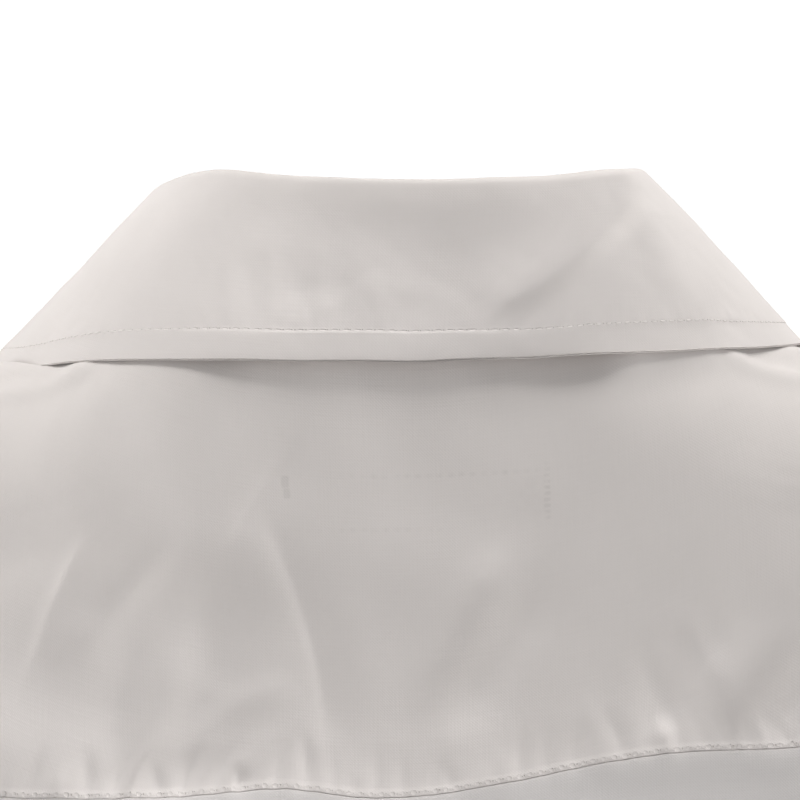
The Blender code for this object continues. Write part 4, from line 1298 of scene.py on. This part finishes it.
def banded(grid, normals):
    """Thicken the band along the centre edge, and press it down along its stitches."""
    distance = walked(np.swapaxes(grid, 0, 1)).T / MM
    height = BAND_RISE * (1 - soft_step(distance, FRONT_BAND_WIDTH + 0.5, FRONT_BAND_WIDTH + 2.5))
    height = height - THREAD_FURROW * np.exp(-((distance - BAND_STITCH_INSIDE) / 1.6) ** 2)
    return pushed(grid, height, normals)


def button_seat(name, inside):
    """Middle of a button's back, its direction away from the point inside, and its thickness."""
    points = np.array([vertex.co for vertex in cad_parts[name].data.vertices])
    middle = (points.min(axis=0) + points.max(axis=0)) / 2
    normal = np.linalg.svd(points - points.mean(axis=0), full_matrices=False)[2][2]
    normal = normal * np.sign(np.dot(normal, middle - np.array(inside)))
    reach = (points - middle) @ normal
    return middle + reach.min() * normal, normal, reach.max() - reach.min()


def drawn_to_buttons(grid, normals, below):
    """Bring the cloth to the back of each button, as its thread does."""
    for name in front_buttons:
        low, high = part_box(name)
        seat, normal, _ = button_seat(name, (0.0, 0.0, (low[2] + high[2]) / 2))
        away = np.linalg.norm(grid - seat, axis=-1)
        nearest = grid[np.unravel_index(np.argmin(away), away.shape)]
        gap = np.dot(nearest - seat, normal) + below
        grid = grid - (gap * np.exp(-(away / BUTTON_PULL) ** 2))[..., None] * normals
    return grid


# %% Make the fronts
def make_front(name, side):
    """One front; side is 1 for the wearer's left and -1 for the right."""
    angles, levels = front_layout()
    flip = np.array([side, 1.0, 1.0])
    normals = form_normal(angles, levels) * flip
    grid = form_point(angles, levels) * flip
    if side > 0:
        grid = grid + lap_share(grid[..., 0:1]) * OVERLAP_LIFT * normals
    grid = creased(grid, YOKE_CREASES + FRONT_CREASES + SIDE_CREASES, normals)
    grid = rippled(grid, *BODY_RIPPLE, normals=normals)
    grid = hemmed(banded(grid, normals), normals)
    below = BELOW_BUTTON if side > 0 else BELOW_BUTTON + OVERLAP_LIFT
    grid = drawn_in(drawn_to_buttons(grid, normals, below), top=SEAM_DRAW, last_column=SEAM_DRAW)
    if side < 0:
        grid = grid[:, ::-1]
    return add_cloth(name, grid), grid


front_left, front_left_grid = make_front("front_left_cloth", 1)
front_right, front_right_grid = make_front("front_right_cloth", -1)
print("each front:", measured(front_left_grid))

# %% [markdown]
# ## Sleeves
#
# A sleeve starts at the armhole's own points, so the seam closes, and turns into rings round the
# arm. The cap is a smooth curve that leaves the shoulder at one slope and joins the arm's line.
# Below it the cloth hangs in folds that wrap the elbow and gather above the cuff.

# %% The arm and its rings
UPPER_ARM = (0.2560, 0.0, -0.2540)    # middle of the left arm where the cap ends
ARM_TILT = 11.0                # degrees out from straight down
ARM_FORWARD = 0.05             # how fast it leans forward, and how fast it then bends forward
ARM_BEND = 0.12
CAP_SLOPE = 34.0               # degrees below level
SLEEVE_COLUMNS = ("along", "half_out", "half_deep")
SLEEVE_ROWS = (
    (0.000, 0.051, 0.069),
    (0.1, 0.049, 0.064),
    (0.2, 0.046, 0.057),
    (0.29, 0.043, 0.05),
    (0.345, 0.037, 0.0415),
    (0.41, 0.0365, 0.0405),
)
SLEEVE_END = 0.345
SLEEVE_TUCK = 0.004            # the sleeve's end, gathered in under the cuff
SLEEVE_TUCK_DEPTH = 0.0024
read_sleeve = table_reader(SLEEVE_ROWS, SLEEVE_COLUMNS)


def arm_frame(along):
    """Middle of the arm's ring at a distance along it, its outward direction and its line."""
    tilt = math.radians(ARM_TILT)
    middle = np.array(UPPER_ARM) + along * np.array([math.sin(tilt), -ARM_FORWARD, -math.cos(tilt)])
    middle[1] -= ARM_BEND * along ** 2
    outward = np.array([math.cos(tilt), 0.0, math.sin(tilt)])
    line = np.array([math.sin(tilt), -ARM_FORWARD - 2 * ARM_BEND * along, -math.cos(tilt)])
    return middle, outward, unit(line)


def arm_ring(along, turns, swell=0.0):
    """Points round the arm: turn 0 is the outer side, 90 the back, 180 the side by the body."""
    middle, outward, line = arm_frame(along)
    backward = np.cross(outward, line)
    backward = backward * np.sign(backward[1])
    half_out = read_sleeve("half_out", along) + swell
    half_deep = read_sleeve("half_deep", along) + swell
    radians = np.radians(turns)
    out_part = (half_out * np.cos(radians))[..., None] * outward
    return middle + out_part + (half_deep * np.sin(radians))[..., None] * backward


# %% Make the sleeves
def sleeve_creases(side, lean):
    """Folds down the arm, round the elbow and above the cuff; lean sets the two sleeves apart."""
    def spot(turn, along):
        return arm_ring(along, np.array([turn]))[0] * np.array([side, 1.0, 1.0])

    # Height, upper and lower width, then a path of turns and distances along the arm.
    rows = [
        (2.6, 9, 12, (60, 0.0), (72, 0.08), (78 + lean, 0.16), (80, 0.25)),
        (-2.2, 10, 9, (88, 0.01), (98, 0.10), (104 - lean, 0.2), (104, 0.3)),
        (2.4, 10, 12, (20, 0.02), (14, 0.10), (10 - lean, 0.2), (12, 0.31)),
        (-2.0, 9, 9, (40, 0.04), (44, 0.14), (40, 0.24), (36, 0.32)),
        (2.2, 9, 12, (-40, 0.0), (-50, 0.10), (-56 + lean, 0.2), (-52, 0.3)),
        (-2.2, 9, 10, (-16, 0.03), (-20, 0.13), (-22, 0.23), (-18, 0.32)),
        (2.4, 8, 10, (150, 0.02), (120, 0.05), (92, 0.07), (64, 0.075)),
        (2.2, 8, 10, (-150, 0.03), (-118, 0.06), (-88, 0.08), (-62, 0.085)),
    ]
    # Gathers above the cuff, a ridge and a hollow by turns; the sine only makes them uneven.
    for turn in range(-170, 180, 27):
        shift = lean * math.sin(turn)
        rows += [(2.1, 5, 6, (turn + shift, 0.268), (turn + 3, 0.30), (turn + 2, 0.338)),
                 (-1.2, 5, 5, (turn + 13, 0.275), (turn + 14, 0.31), (turn + 14, 0.340))]
    # Three wrinkles across the front of the elbow.
    for along, start, rise in ((0.135, 30, 1.8), (0.165, 10, 2.0), (0.195, 36, 1.6)):
        rows.append((rise, 6, 8, (start + lean - 90, along), (start - 120, along - 0.008),
                     (start - 150, along - 0.012)))
    return [Crease([spot(*place) for place in path], height, upper, lower, 2.0, fade=0.4)
            for height, upper, lower, *path in rows]


CAP_SHARES = spaced((0.0, 8), (0.12, 26), (1.0, 0))   # how far down the cap each of its rows lies
CAP_SWELL = 0.9                # millimetres that it stands up beside its seam
CUFF_ROWS = 11                 # rows over which the creases settle into the cuff


def cap_rows(start, end):
    """Rows from the armhole to the arm's first ring, which leave and arrive at set slopes."""
    slope = math.radians(CAP_SLOPE)
    leave, arrive = np.array([math.cos(slope), 0.0, -math.sin(slope)]), arm_frame(0.0)[2]
    length = np.linalg.norm(end - start, axis=1)[:, None]
    rows = []
    for share in CAP_SHARES:
        row = start * (1 + 2 * share) * (1 - share) ** 2 + end * share ** 2 * (3 - 2 * share)
        row = row + leave * length * share * (1 - share) ** 2
        rows.append(row - arrive * length * share ** 2 * (1 - share))
    return rows


def sleeve_layout(side):
    """The plain rows of a sleeve, and the body's outward directions along its armhole."""
    turns = np.concatenate([np.linspace(YOKE_FRONT_TURN, YOKE_BACK_TURN, 25)[:-1],
                            np.linspace(YOKE_BACK_TURN, 180.0, 41)[:-1],
                            np.linspace(180.0, 360.0 + YOKE_FRONT_TURN, 49)[:-1]])
    angles, levels = armhole(turns)
    alongs = spaced((0.0, 70), (SLEEVE_END - 0.012, 10), (SLEEVE_END, 0))[1:]
    rows = cap_rows(form_point(angles, levels), arm_ring(0.0, turns))
    rows += [arm_ring(along, turns) for along in alongs]
    rows.append(arm_ring(SLEEVE_END + SLEEVE_TUCK, turns, -SLEEVE_TUCK_DEPTH))
    flip = np.array([side, 1.0, 1.0])
    rows, body_normals = np.array(rows) * flip, form_normal(angles, levels) * flip
    return (rows, body_normals) if side > 0 else (rows[:, ::-1], body_normals[::-1])


def make_sleeve(name, side, lean):
    rows, body_normals = sleeve_layout(side)
    ring = np.concatenate([rows[:, -1:], rows, rows[:, :1]], axis=1)
    normals = grid_normals(ring)[:, 1:-1]
    # Its first row follows the body's creases, and the cap loses them on its way down.
    body_creases = YOKE_CREASES + BACK_CREASES + FRONT_CREASES + SIDE_CREASES
    seam = creased(rows[:1], body_creases, body_normals[None]) - rows[:1]
    down_cap = np.ones(len(rows))
    down_cap[:len(CAP_SHARES)] = CAP_SHARES
    rows = rows + seam * ((1 - down_cap) ** 3)[:, None, None]
    swell = CAP_SWELL * soft_step(down_cap, 0.0, 0.12) * (1 - soft_step(down_cap, 0.12, 0.6))
    rows = pushed(rows, swell[:, None], normals)
    # Its own creases start below the seam, and settle again towards the cuff.
    points = creased(rows, sleeve_creases(side, lean), normals)
    points = rippled(points, 0.3, 34.0, 41 + side, normals)
    settle = soft_step(down_cap, 0.0, 0.3)
    settle[-CUFF_ROWS:] *= np.linspace(1.0, 0.15, CUFF_ROWS)
    grid = drawn_in(rows + (points - rows) * settle[:, None, None], top=SEAM_DRAW)
    return add_cloth(name, grid, closed=True), grid


sleeve_left, sleeve_left_grid = make_sleeve("sleeve_left_cloth", 1, 5.0)
sleeve_right, _ = make_sleeve("sleeve_right_cloth", -1, -7.0)
print("each sleeve:", measured(sleeve_left_grid))

# %% [markdown]
# ## Cuffs
#
# A cuff is a stiff band whose ends lap by a thumb's width and button. Its outer end winds out over
# the inner one, so it is a spiral of a little more than one turn, topstitched all round.

# %% Make the cuffs
CUFF_WALL = 1.3                # millimetres
CUFF_START_TURN = 40.0         # degrees round the arm where it starts, then by how much it laps
CUFF_LAP_TURN = 30.0
CUFF_WIND_START = 250.0        # from here it winds outwards, by its wall in the frame and a gap
FRAME_CUFF_WALL = 0.0020
CUFF_LENGTH = 0.065
CUFF_STITCH_INSIDE = 5.0
CUFF_FURROW = 0.16


def furrowed(grid):
    """A cuff with the furrow of its stitches along its last row."""
    return stitched_edge(grid, grid_normals(grid), CUFF_STITCH_INSIDE, 0.0, depth=CUFF_FURROW)


def make_cuff(name, side):
    turns = np.linspace(0.0, 360.0 + CUFF_LAP_TURN, 151)
    wound = soft_step(turns, CUFF_WIND_START, 360.0)
    swell = (FRAME_CUFF_WALL + SEAM_GAP) * wound
    alongs = spaced((SLEEVE_END + SEAM_GAP, 8), (SLEEVE_END + 0.007, 16),
                    (SLEEVE_END + CUFF_LENGTH - 0.008, 12), (SLEEVE_END + CUFF_LENGTH, 0))
    grid = np.array([arm_ring(along, CUFF_START_TURN + turns, swell) for along in alongs])
    if side < 0:
        grid = mirrored(grid)
    grid = furrowed(rippled(grid, 0.12, 20.0, 51 + side))
    grid = furrowed(grid[::-1, ::-1])[::-1, ::-1]
    return add_cloth(name, grid, CUFF_WALL * MM), grid


cuff_left, cuff_left_grid = make_cuff("cuff_left_cloth", 1)
cuff_right, cuff_right_grid = make_cuff("cuff_right_cloth", -1)
print("each cuff:", measured(cuff_left_grid))
# %% [markdown]
# ## Stitches
#
# A lockstitch shows as a row of short dashes of thread, each sinking into the hole that the needle
# made. There are thousands, all alike, so one Geometry Nodes tree lays a small rounded shape along
# any path: it cuts the path into steps, sets a shape on each point with its long side along the
# path and its top away from the cloth, and turns the result into a plain mesh. The same tree lays
# the needle's holes, half a step further on, as small dark shapes of painted shade, and the bars of
# thread round a buttonhole. Along the yoke's seam the thread sinks out of sight, and the cloth puffs
# up between the holes.

# %% Start a tree with named inputs
def start_geometry(name, sizes, others=()):
    """A new tree, its given inputs, a maker of nodes, and a call that ends it."""
    tree = bpy.data.node_groups.new(name, "GeometryNodeTree")
    face = tree.interface
    face.new_socket("Path", in_out="INPUT", socket_type="NodeSocketGeometry")
    kinds = {**dict.fromkeys(sizes, "NodeSocketFloat"), **dict(others),
             "Material": "NodeSocketMaterial"}
    sockets = {key: face.new_socket(key, in_out="INPUT", socket_type=kind).identifier
               for key, kind in kinds.items()}
    face.new_socket("Made", in_out="OUTPUT", socket_type="NodeSocketGeometry")

    def node(kind, inputs=(), output=0, **settings):
        return add_node(tree, kind, inputs, **settings)[output]

    given = tree.nodes.new("NodeGroupInput").outputs

    def end(geometry):
        real = node("GeometryNodeRealizeInstances", {"Geometry": geometry})
        finish = node("GeometryNodeSetMaterial", {"Geometry": real, "Material": given["Material"]})
        tree.links.new(finish, tree.nodes.new("NodeGroupOutput").inputs[0])
        return tree, sockets

    return given, node, end


# %% The tree that lays a row of small shapes, and the one that draws a thread
ROW_SIZES = ("Pitch", "Long", "Wide", "Tall", "Shift", "Unevenness")


def row_tree():
    """Shapes along a path, each with its long side along it and its top turned outwards."""
    given, node, end = start_geometry("row_of_shapes", ROW_SIZES, {"Seed": "NodeSocketInt"})
    curve = node("GeometryNodeMeshToCurve", {"Mesh": given["Path"]})
    steps = node("GeometryNodeResampleCurve", {"Curve": curve, "Length": given["Pitch"]},
                 mode="LENGTH")
    outward = node("GeometryNodeInputNamedAttribute", {"Name": "outward"},
                   data_type="FLOAT_VECTOR")
    tangent = node("GeometryNodeInputTangent")
    upright = node("FunctionNodeAlignRotationToVector", {"Vector": outward}, axis="Z")
    turned = node("FunctionNodeAlignRotationToVector", {"Rotation": upright, "Vector": tangent},
                  axis="X", pivot_axis="Z")
    shape = node("GeometryNodeMeshUVSphere", {"Segments": 6, "Rings": 4, "Radius": 0.5})
    size = node("ShaderNodeCombineXYZ", {"X": given["Long"], "Y": given["Wide"], "Z": given["Tall"]})
    sized = node("GeometryNodeTransform", {"Geometry": shape, "Scale": size})
    least = node("ShaderNodeMath", {0: 1.0, 1: given["Unevenness"]}, operation="SUBTRACT")
    uneven = node("FunctionNodeRandomValue", {2: least, 3: 1.0, "Seed": given["Seed"]}, 1,
                  data_type="FLOAT")
    laid = node("GeometryNodeInstanceOnPoints",
                {"Points": steps, "Instance": sized, "Rotation": turned, "Scale": uneven})
    shift = node("ShaderNodeCombineXYZ", {"X": given["Shift"]})
    return end(node("GeometryNodeTranslateInstances", {"Instances": laid, "Translation": shift}))


def tube_tree():
    """A round thread along a path."""
    given, node, end = start_geometry("thread_along_a_path", ("Thickness",))
    curve = node("GeometryNodeMeshToCurve", {"Mesh": given["Path"]})
    radius = node("ShaderNodeMath", {0: given["Thickness"], 1: 0.5}, operation="MULTIPLY")
    round_profile = node("GeometryNodeCurvePrimitiveCircle", {"Resolution": 6, "Radius": radius})
    return end(node("GeometryNodeCurveToMesh",
                    {"Curve": curve, "Profile Curve": round_profile, "Fill Caps": True}))


ROW_TREE, TUBE_TREE = row_tree(), tube_tree()
print("trees:", ROW_TREE[0].name, ", ".join(ROW_TREE[1]), "and", TUBE_TREE[0].name)


# %% Lay rows and join them
def path_object(lines):
    """Edges along each (points, outward directions) line, in one mesh."""
    points = np.concatenate([line[0] for line in lines])
    outward = np.concatenate([line[1] for line in lines])
    edges, first = [], 0
    for line in lines:
        edges += [(index, index + 1) for index in range(first, first + len(line[0]) - 1)]
        first += len(line[0])
    mesh = bpy.data.meshes.new("path")
    mesh.from_pydata(points.tolist(), edges, [])
    values = mesh.attributes.new("outward", "FLOAT_VECTOR", "POINT").data
    values.foreach_set("vector", outward.astype(np.float32).ravel())
    return add_object("path", mesh)


def grown(path, tree, inputs):
    """What a tree makes of a path, as a plain mesh."""
    modifier = path.modifiers.new("made", "NODES")
    modifier.node_group, sockets = tree
    for name, value in inputs.items():
        modifier[sockets[name]] = value
    graph = bpy.context.evaluated_depsgraph_get()
    mesh = bpy.data.meshes.new_from_object(path.evaluated_get(graph))
    bpy.data.objects.remove(path, do_unlink=True)
    return mesh


def lay_row(lines, material, pitch, long, wide, tall, seed, shift=0.0, unevenness=0.1):
    """Shapes along the lines; sizes in millimetres."""
    sizes = (pitch * MM, long * MM, wide * MM, tall * MM, shift * MM, unevenness)
    return grown(path_object(lines), ROW_TREE,
                 {**dict(zip(ROW_SIZES, sizes)), "Seed": seed, "Material": material})


def draw_thread(lines, thickness, material):
    """Round thread along the lines; its thickness in millimetres."""
    return grown(path_object(lines), TUBE_TREE, {"Thickness": thickness * MM, "Material": material})


def joined(name, meshes):
    """One object from several meshes, each keeping its material."""
    whole, materials = bmesh.new(), []
    for mesh in meshes:
        first = len(whole.faces)
        whole.from_mesh(mesh)
        whole.faces.ensure_lookup_table()
        material = next(material for material in mesh.materials if material)
        if material not in materials:
            materials.append(material)
        for face in whole.faces[first:]:
            face.material_index = materials.index(material)
    result = bpy.data.meshes.new(name)
    whole.to_mesh(result)
    whole.free()
    for material in materials:
        result.materials.append(material)
    result.shade_smooth()
    return add_object(name, result)


def trimmed(line, start, end):
    """A line without its first and last few millimetres."""
    points, outward = line
    lengths = walked(points)
    keep = (lengths >= start * MM) & (lengths <= lengths[-1] - end * MM)
    return points[keep], outward[keep]


# %% Sew the pieces
STITCH_PITCH = 2.5             # millimetres from one stitch to the next
STITCH_LONG = 1.75
THREAD = 0.42
HOLE = 0.34
PUFF = (1.45, 1.7, 0.22)       # how long, wide and high the cloth puffs up between two holes


def sew(name, lines, seed, holes=True, pitch=STITCH_PITCH, puffed=()):
    """Stitches, and painted shade for the holes between, along several lines; puffed ones sink out of
    sight.
    """
    scale = pitch / STITCH_PITCH
    meshes = [lay_row(lines, thread_material, pitch, STITCH_LONG * scale, THREAD, THREAD * 0.6,
                      unevenness=0.14, seed=seed)]
    if holes:
        meshes.append(lay_row(lines, hole_shade_material, pitch, HOLE, HOLE * 1.1, HOLE * 0.35,
                              shift=pitch / 2, unevenness=0.35, seed=seed + 1))
    if puffed:
        meshes.append(lay_row(puffed, poplin, pitch, *PUFF, unevenness=0.35, seed=seed + 1))
        meshes.append(lay_row(puffed, hole_shade_material, pitch, HOLE, HOLE * 1.8, HOLE * 0.5,
                              shift=pitch / 2, unevenness=0.35, seed=seed + 1))
    return joined(name, meshes)


def lines_at_ends(grid, inside, start, end):
    """Lines inside a grid's first and last columns, without their first and last millimetres."""
    return [trimmed(line_inside(grid, inside, edge), start, end)
            for edge in ("first column", "last column")]


leaf_edge_line = line_inside(leaf_grid, LEAF_STITCH_INSIDE)
collar_lines = [trimmed(leaf_edge_line, LEAF_STITCH_INSIDE, LEAF_STITCH_INSIDE),
                *lines_at_ends(leaf_grid[ROLL_STEPS - 1:], LEAF_STITCH_INSIDE, 3.0, LEAF_STITCH_INSIDE)]
stand_lines = [line_inside(stand_grid, 2.0), line_inside(stand_grid, 2.5, "top")]
yoke_line = line_inside(yoke_grid[:, seam_columns], YOKE_STITCH_INSIDE)
yoke_front_lines = lines_at_ends(yoke_grid, 1.5, 12.0, 2.0)
front_lines = [trimmed(line_inside(grid, BAND_STITCH_INSIDE, edge), 4.0, 1.0)
               for grid, edge in ((front_left_grid, "first column"), (front_right_grid, "last column"))]
hem_lines = [line_inside(grid, HEM_STITCH_INSIDE)
             for grid in (back_grid, front_left_grid, front_right_grid)]
cuff_lines = []
for grid in (cuff_left_grid, cuff_right_grid):
    cuff_lines += [line_inside(grid, CUFF_STITCH_INSIDE, edge) for edge in ("bottom", "top")]
    cuff_lines += lines_at_ends(grid, CUFF_STITCH_INSIDE, 6.0, 6.0)
print("stitches are", STITCH_PITCH, "mm apart")

# %% [markdown]
# ## Buttons, their thread and their holes
#
# The frame's buttons are already turned and drilled to the right shape, so they stay, and only get
# a pearly finish. Thread crosses from hole to hole on each. Under it, the buttonhole is a slit
# closed in by bars of thread, laid close together: the same row of small shapes as the stitches,
# turned so that each bar lies across the line.

# %% Where a button sits
BUTTONHOLE = 14.0              # millimetres long
SLIT_SIDE = 0.75               # from its slit out to the middle of the bars
BAR_PITCH = 0.42
BAR_WIDE = 1.15
SHANK_CIRCLE = 0.0012          # metres from a button's middle to each of its holes
STRAND_APART = 0.00013         # half the distance between the two strands of a pair
# Along a strand, as shares of the way to a hole, and how far it lies above the button's face.
STRAND = ((-1, -1.9), (-1, -1.1), (-0.93, -0.55), (-0.6, -0.28), (0, -0.18), (0.6, -0.28),
          (0.93, -0.55), (1, -1.1), (1, -1.9))


def button_thread(seat, normal, thickness):
    """Two crossed pairs of strands through the four holes."""
    turn = Vector(normal).to_track_quat("Z", "Y").to_matrix()
    reach, rise = np.array(STRAND).T
    reach, rise = reach * SHANK_CIRCLE, thickness + rise * MM
    lines = []
    for quarter in (0.25, 0.75):
        along = np.array(turn @ Vector((math.cos(math.pi * quarter), math.sin(math.pi * quarter), 0)))
        beside = np.cross(normal, along)
        for offset in (-STRAND_APART, STRAND_APART):
            points = seat + reach[:, None] * along + rise[:, None] * normal + offset * beside
            lines.append((points, np.tile(normal, (len(points), 1))))
    return lines


def buttonhole(piece, seat, normal, along):
    """The line that the bars follow round the slit, and the slit's own line, on a piece of cloth."""
    mesh = piece.data
    tree = BVHTree.FromPolygons([vertex.co for vertex in mesh.vertices],
                                [face.vertices for face in mesh.polygons])
    along = unit(along)
    beside = np.cross(normal, along)
    turns = np.linspace(0.0, 2 * math.pi, 73)
    half = BUTTONHOLE * MM / 2
    loop = [half * np.clip(1.15 * math.cos(turn), -1, 1) * along
            + SLIT_SIDE * MM * np.clip(1.6 * math.sin(turn), -1, 1) * beside for turn in turns]
    slit = [half * share * along for share in np.linspace(-0.92, 0.92, 24)]
    lines = []
    for offsets in (loop, slit):
        found = [tree.find_nearest(Vector(seat + offset)) for offset in offsets]
        lines.append((np.array([spot[0] for spot in found]), np.array([spot[1] for spot in found])))
    return lines


# %% Sew the buttons on and close in their holes
button_names = ["button_collar", *front_buttons, "button_cuff_left", "button_cuff_right"]


def button_layout(name):
    """The cloth that a button shows on, a point inside it, and its buttonhole's direction."""
    low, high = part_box(name)
    if "cuff" in name:
        side = 1.0 if name.endswith("left") else -1.0
        flip = np.array([side, 1.0, 1.0])
        middle, _, line = arm_frame(SLEEVE_END + CUFF_LENGTH / 2)
        seat = (np.array(low) + np.array(high)) / 2
        cuff = cuff_left if side > 0 else cuff_right
        return cuff, middle * flip, np.cross(line * flip, seat - middle * flip)
    cloth = stand if name == "button_collar" else front_left
    along = (1.0, 0.0, 0.0) if name == "button_collar" else (0.0, 0.0, 1.0)
    return cloth, (0.0, 0.0, (low[2] + high[2]) / 2), along


thread_lines, bar_lines, slit_lines = [], [], []
for name in button_names:
    cloth, inside, along = button_layout(name)
    seat, normal, thickness = button_seat(name, inside)
    thread_lines += button_thread(seat, normal, thickness)
    bars, slit = buttonhole(cloth, seat, normal, along - np.dot(along, normal) * normal)
    bar_lines.append(bars)
    slit_lines.append(slit)
    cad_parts[name].data.materials[0] = pearl
button_sewing = joined("button_thread", [draw_thread(thread_lines, THREAD, thread_material)])
# The slit down each buttonhole is a row of dark shapes: painted shade in the opening.
buttonholes = joined("buttonhole_bars", [
    lay_row(bar_lines, thread_material, BAR_PITCH, BAR_PITCH * 1.1, BAR_WIDE, 0.5, seed=61),
    lay_row(slit_lines, hole_shade_material, 0.8, 1.1, 0.22, 0.16, seed=63)])
print(len(button_names), "buttons sewn on,", len(buttonholes.data.polygons), "faces of buttonholes")

# %% [markdown]
# ## Label
#
# A small blank tape lies inside the yoke below the neck seam, its two ends turned under and sewn.
# It is made on the same form as the yoke, a little further in, and takes the yoke's creases too.

# %% Make the label
LABEL_WIDTH = 0.058
LABEL_LEVELS = (0.62, 0.84)    # of its top and its bottom
LABEL_DEPTH = 0.0012           # from the yoke's outer face in to the label's
LABEL_WALL = 0.0004
label_across = np.linspace(LABEL_WIDTH / 2, -LABEL_WIDTH / 2, 59)
label_levels = np.repeat(np.linspace(*LABEL_LEVELS, 15)[:, None], len(label_across), axis=1)
label_angles = np.array([BACK - lap_angle(row[0], label_across) for row in label_levels])
label_normals = form_normal(label_angles, label_levels)
label_grid = creased(form_point(label_angles, label_levels), YOKE_CREASES, label_normals)
label_grid = label_grid - LABEL_DEPTH * label_normals
label = add_cloth("label_cloth", label_grid, LABEL_WALL)
label_lines = []
for edge in ("first column", "last column"):
    points, outward = trimmed(line_inside(label_grid, 2.0, edge), 1.0, 1.0)
    label_lines.append((points - outward * LABEL_WALL, -outward))
print(f"label: {LABEL_WIDTH / MM:.0f} mm wide, blank")

# %% [markdown]
# ## Sew everything and put it on the root
#
# Each row of stitches belongs to one piece of cloth. The table gives, for every piece: the frame's
# solid that it stands for, its material slot, its finish, the size and area of its flat cut in
# metres, how it is held, what holds it, and what it carries besides its stitches. All of it moves as
# one, so everything rides on "root".

# %% The stitches, piece by piece
SEWING = (                     # rows of stitches, seed, and what sets them apart from the rest
    ("yoke", yoke_front_lines, 2, {"pitch": 2.35, "puffed": [trimmed(yoke_line, 2.0, 2.0)]}),
    ("collar_leaf", collar_lines, 4, {}),
    ("collar_stand", stand_lines, 6, {}),
    ("back", hem_lines[:1], 8, {"holes": False}),
    ("front_left", [hem_lines[1], front_lines[0]], 10, {"holes": False}),
    ("front_right", [hem_lines[2], front_lines[1]], 12, {"holes": False}),
    ("cuff_left", cuff_lines[:4], 16, {}),
    ("cuff_right", cuff_lines[4:], 17, {}),
    ("label", label_lines, 20, {"pitch": 2.0, "holes": False}),
)
sewing = {node: sew(f"{node}_stitches", lines, seed, **how) for node, lines, seed, how in SEWING}
print("stitched pieces:", ", ".join(sewing))

# %% What each piece of cloth is
CLOTH_PIECES = (
    (yoke, "yoke", "poplin", yoke_poplin, (0.646, 0.191, 0.0620), "draped",
     ["collar_stand_cloth"], [label]),
    (back, "back", "poplin", back_poplin, (0.554, 0.668, 0.3130), "hung", ["yoke_cloth"], []),
    (front_left, "front_left", "poplin", poplin, (0.285, 0.715, 0.1715), "hung", ["yoke_cloth"],
     [*front_buttons, buttonholes, button_sewing]),
    (front_right, "front_right", "poplin", poplin, (0.285, 0.715, 0.1715), "hung", ["yoke_cloth"], []),
    (sleeve_left, "sleeve_left", "poplin", poplin, (0.469, 0.556, 0.1635), "hung",
     ["yoke_cloth", "back_cloth", "front_left_cloth"], []),
    (sleeve_right, "sleeve_right", "poplin", poplin, (0.469, 0.556, 0.1635), "hung",
     ["yoke_cloth", "back_cloth", "front_right_cloth"], []),
    (cuff_left, "cuff_left", "collar_poplin", collar_poplin, (0.270, 0.066, 0.0175), "hung",
     ["sleeve_left_cloth"], ["button_cuff_left"]),
    (cuff_right, "cuff_right", "collar_poplin", collar_poplin, (0.270, 0.066, 0.0175), "hung",
     ["sleeve_right_cloth"], ["button_cuff_right"]),
    (stand, "collar_stand", "collar_poplin", collar_poplin, (0.468, 0.028, 0.0112), "stretched",
     ["yoke_cloth"], ["button_collar"]),
    (leaf, "collar_leaf", "collar_poplin", collar_poplin, (0.511, 0.115, 0.0286), "folded",
     ["collar_stand_cloth"], []),
    (label, "label", "label_tape", label_tape, (0.058, 0.013, 0.00075), "laid", ["yoke_cloth"], []),
)

# %% Give each piece its material, hide its frame solid, and put it and its stitches on the root
for piece, node, slot, material, (width, length, area), held, rests_on, others in CLOTH_PIECES:
    with_pieces = [sewing[node], *others] if node in sewing else others
    piece.data.materials.append(material)
    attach(piece, "root")
    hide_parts(node)
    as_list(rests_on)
    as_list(with_pieces)
    for part in with_pieces:
        if not isinstance(part, str) and part is not label:
            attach(part, "root")
print(len(CLOTH_PIECES), "pieces of cloth declared")
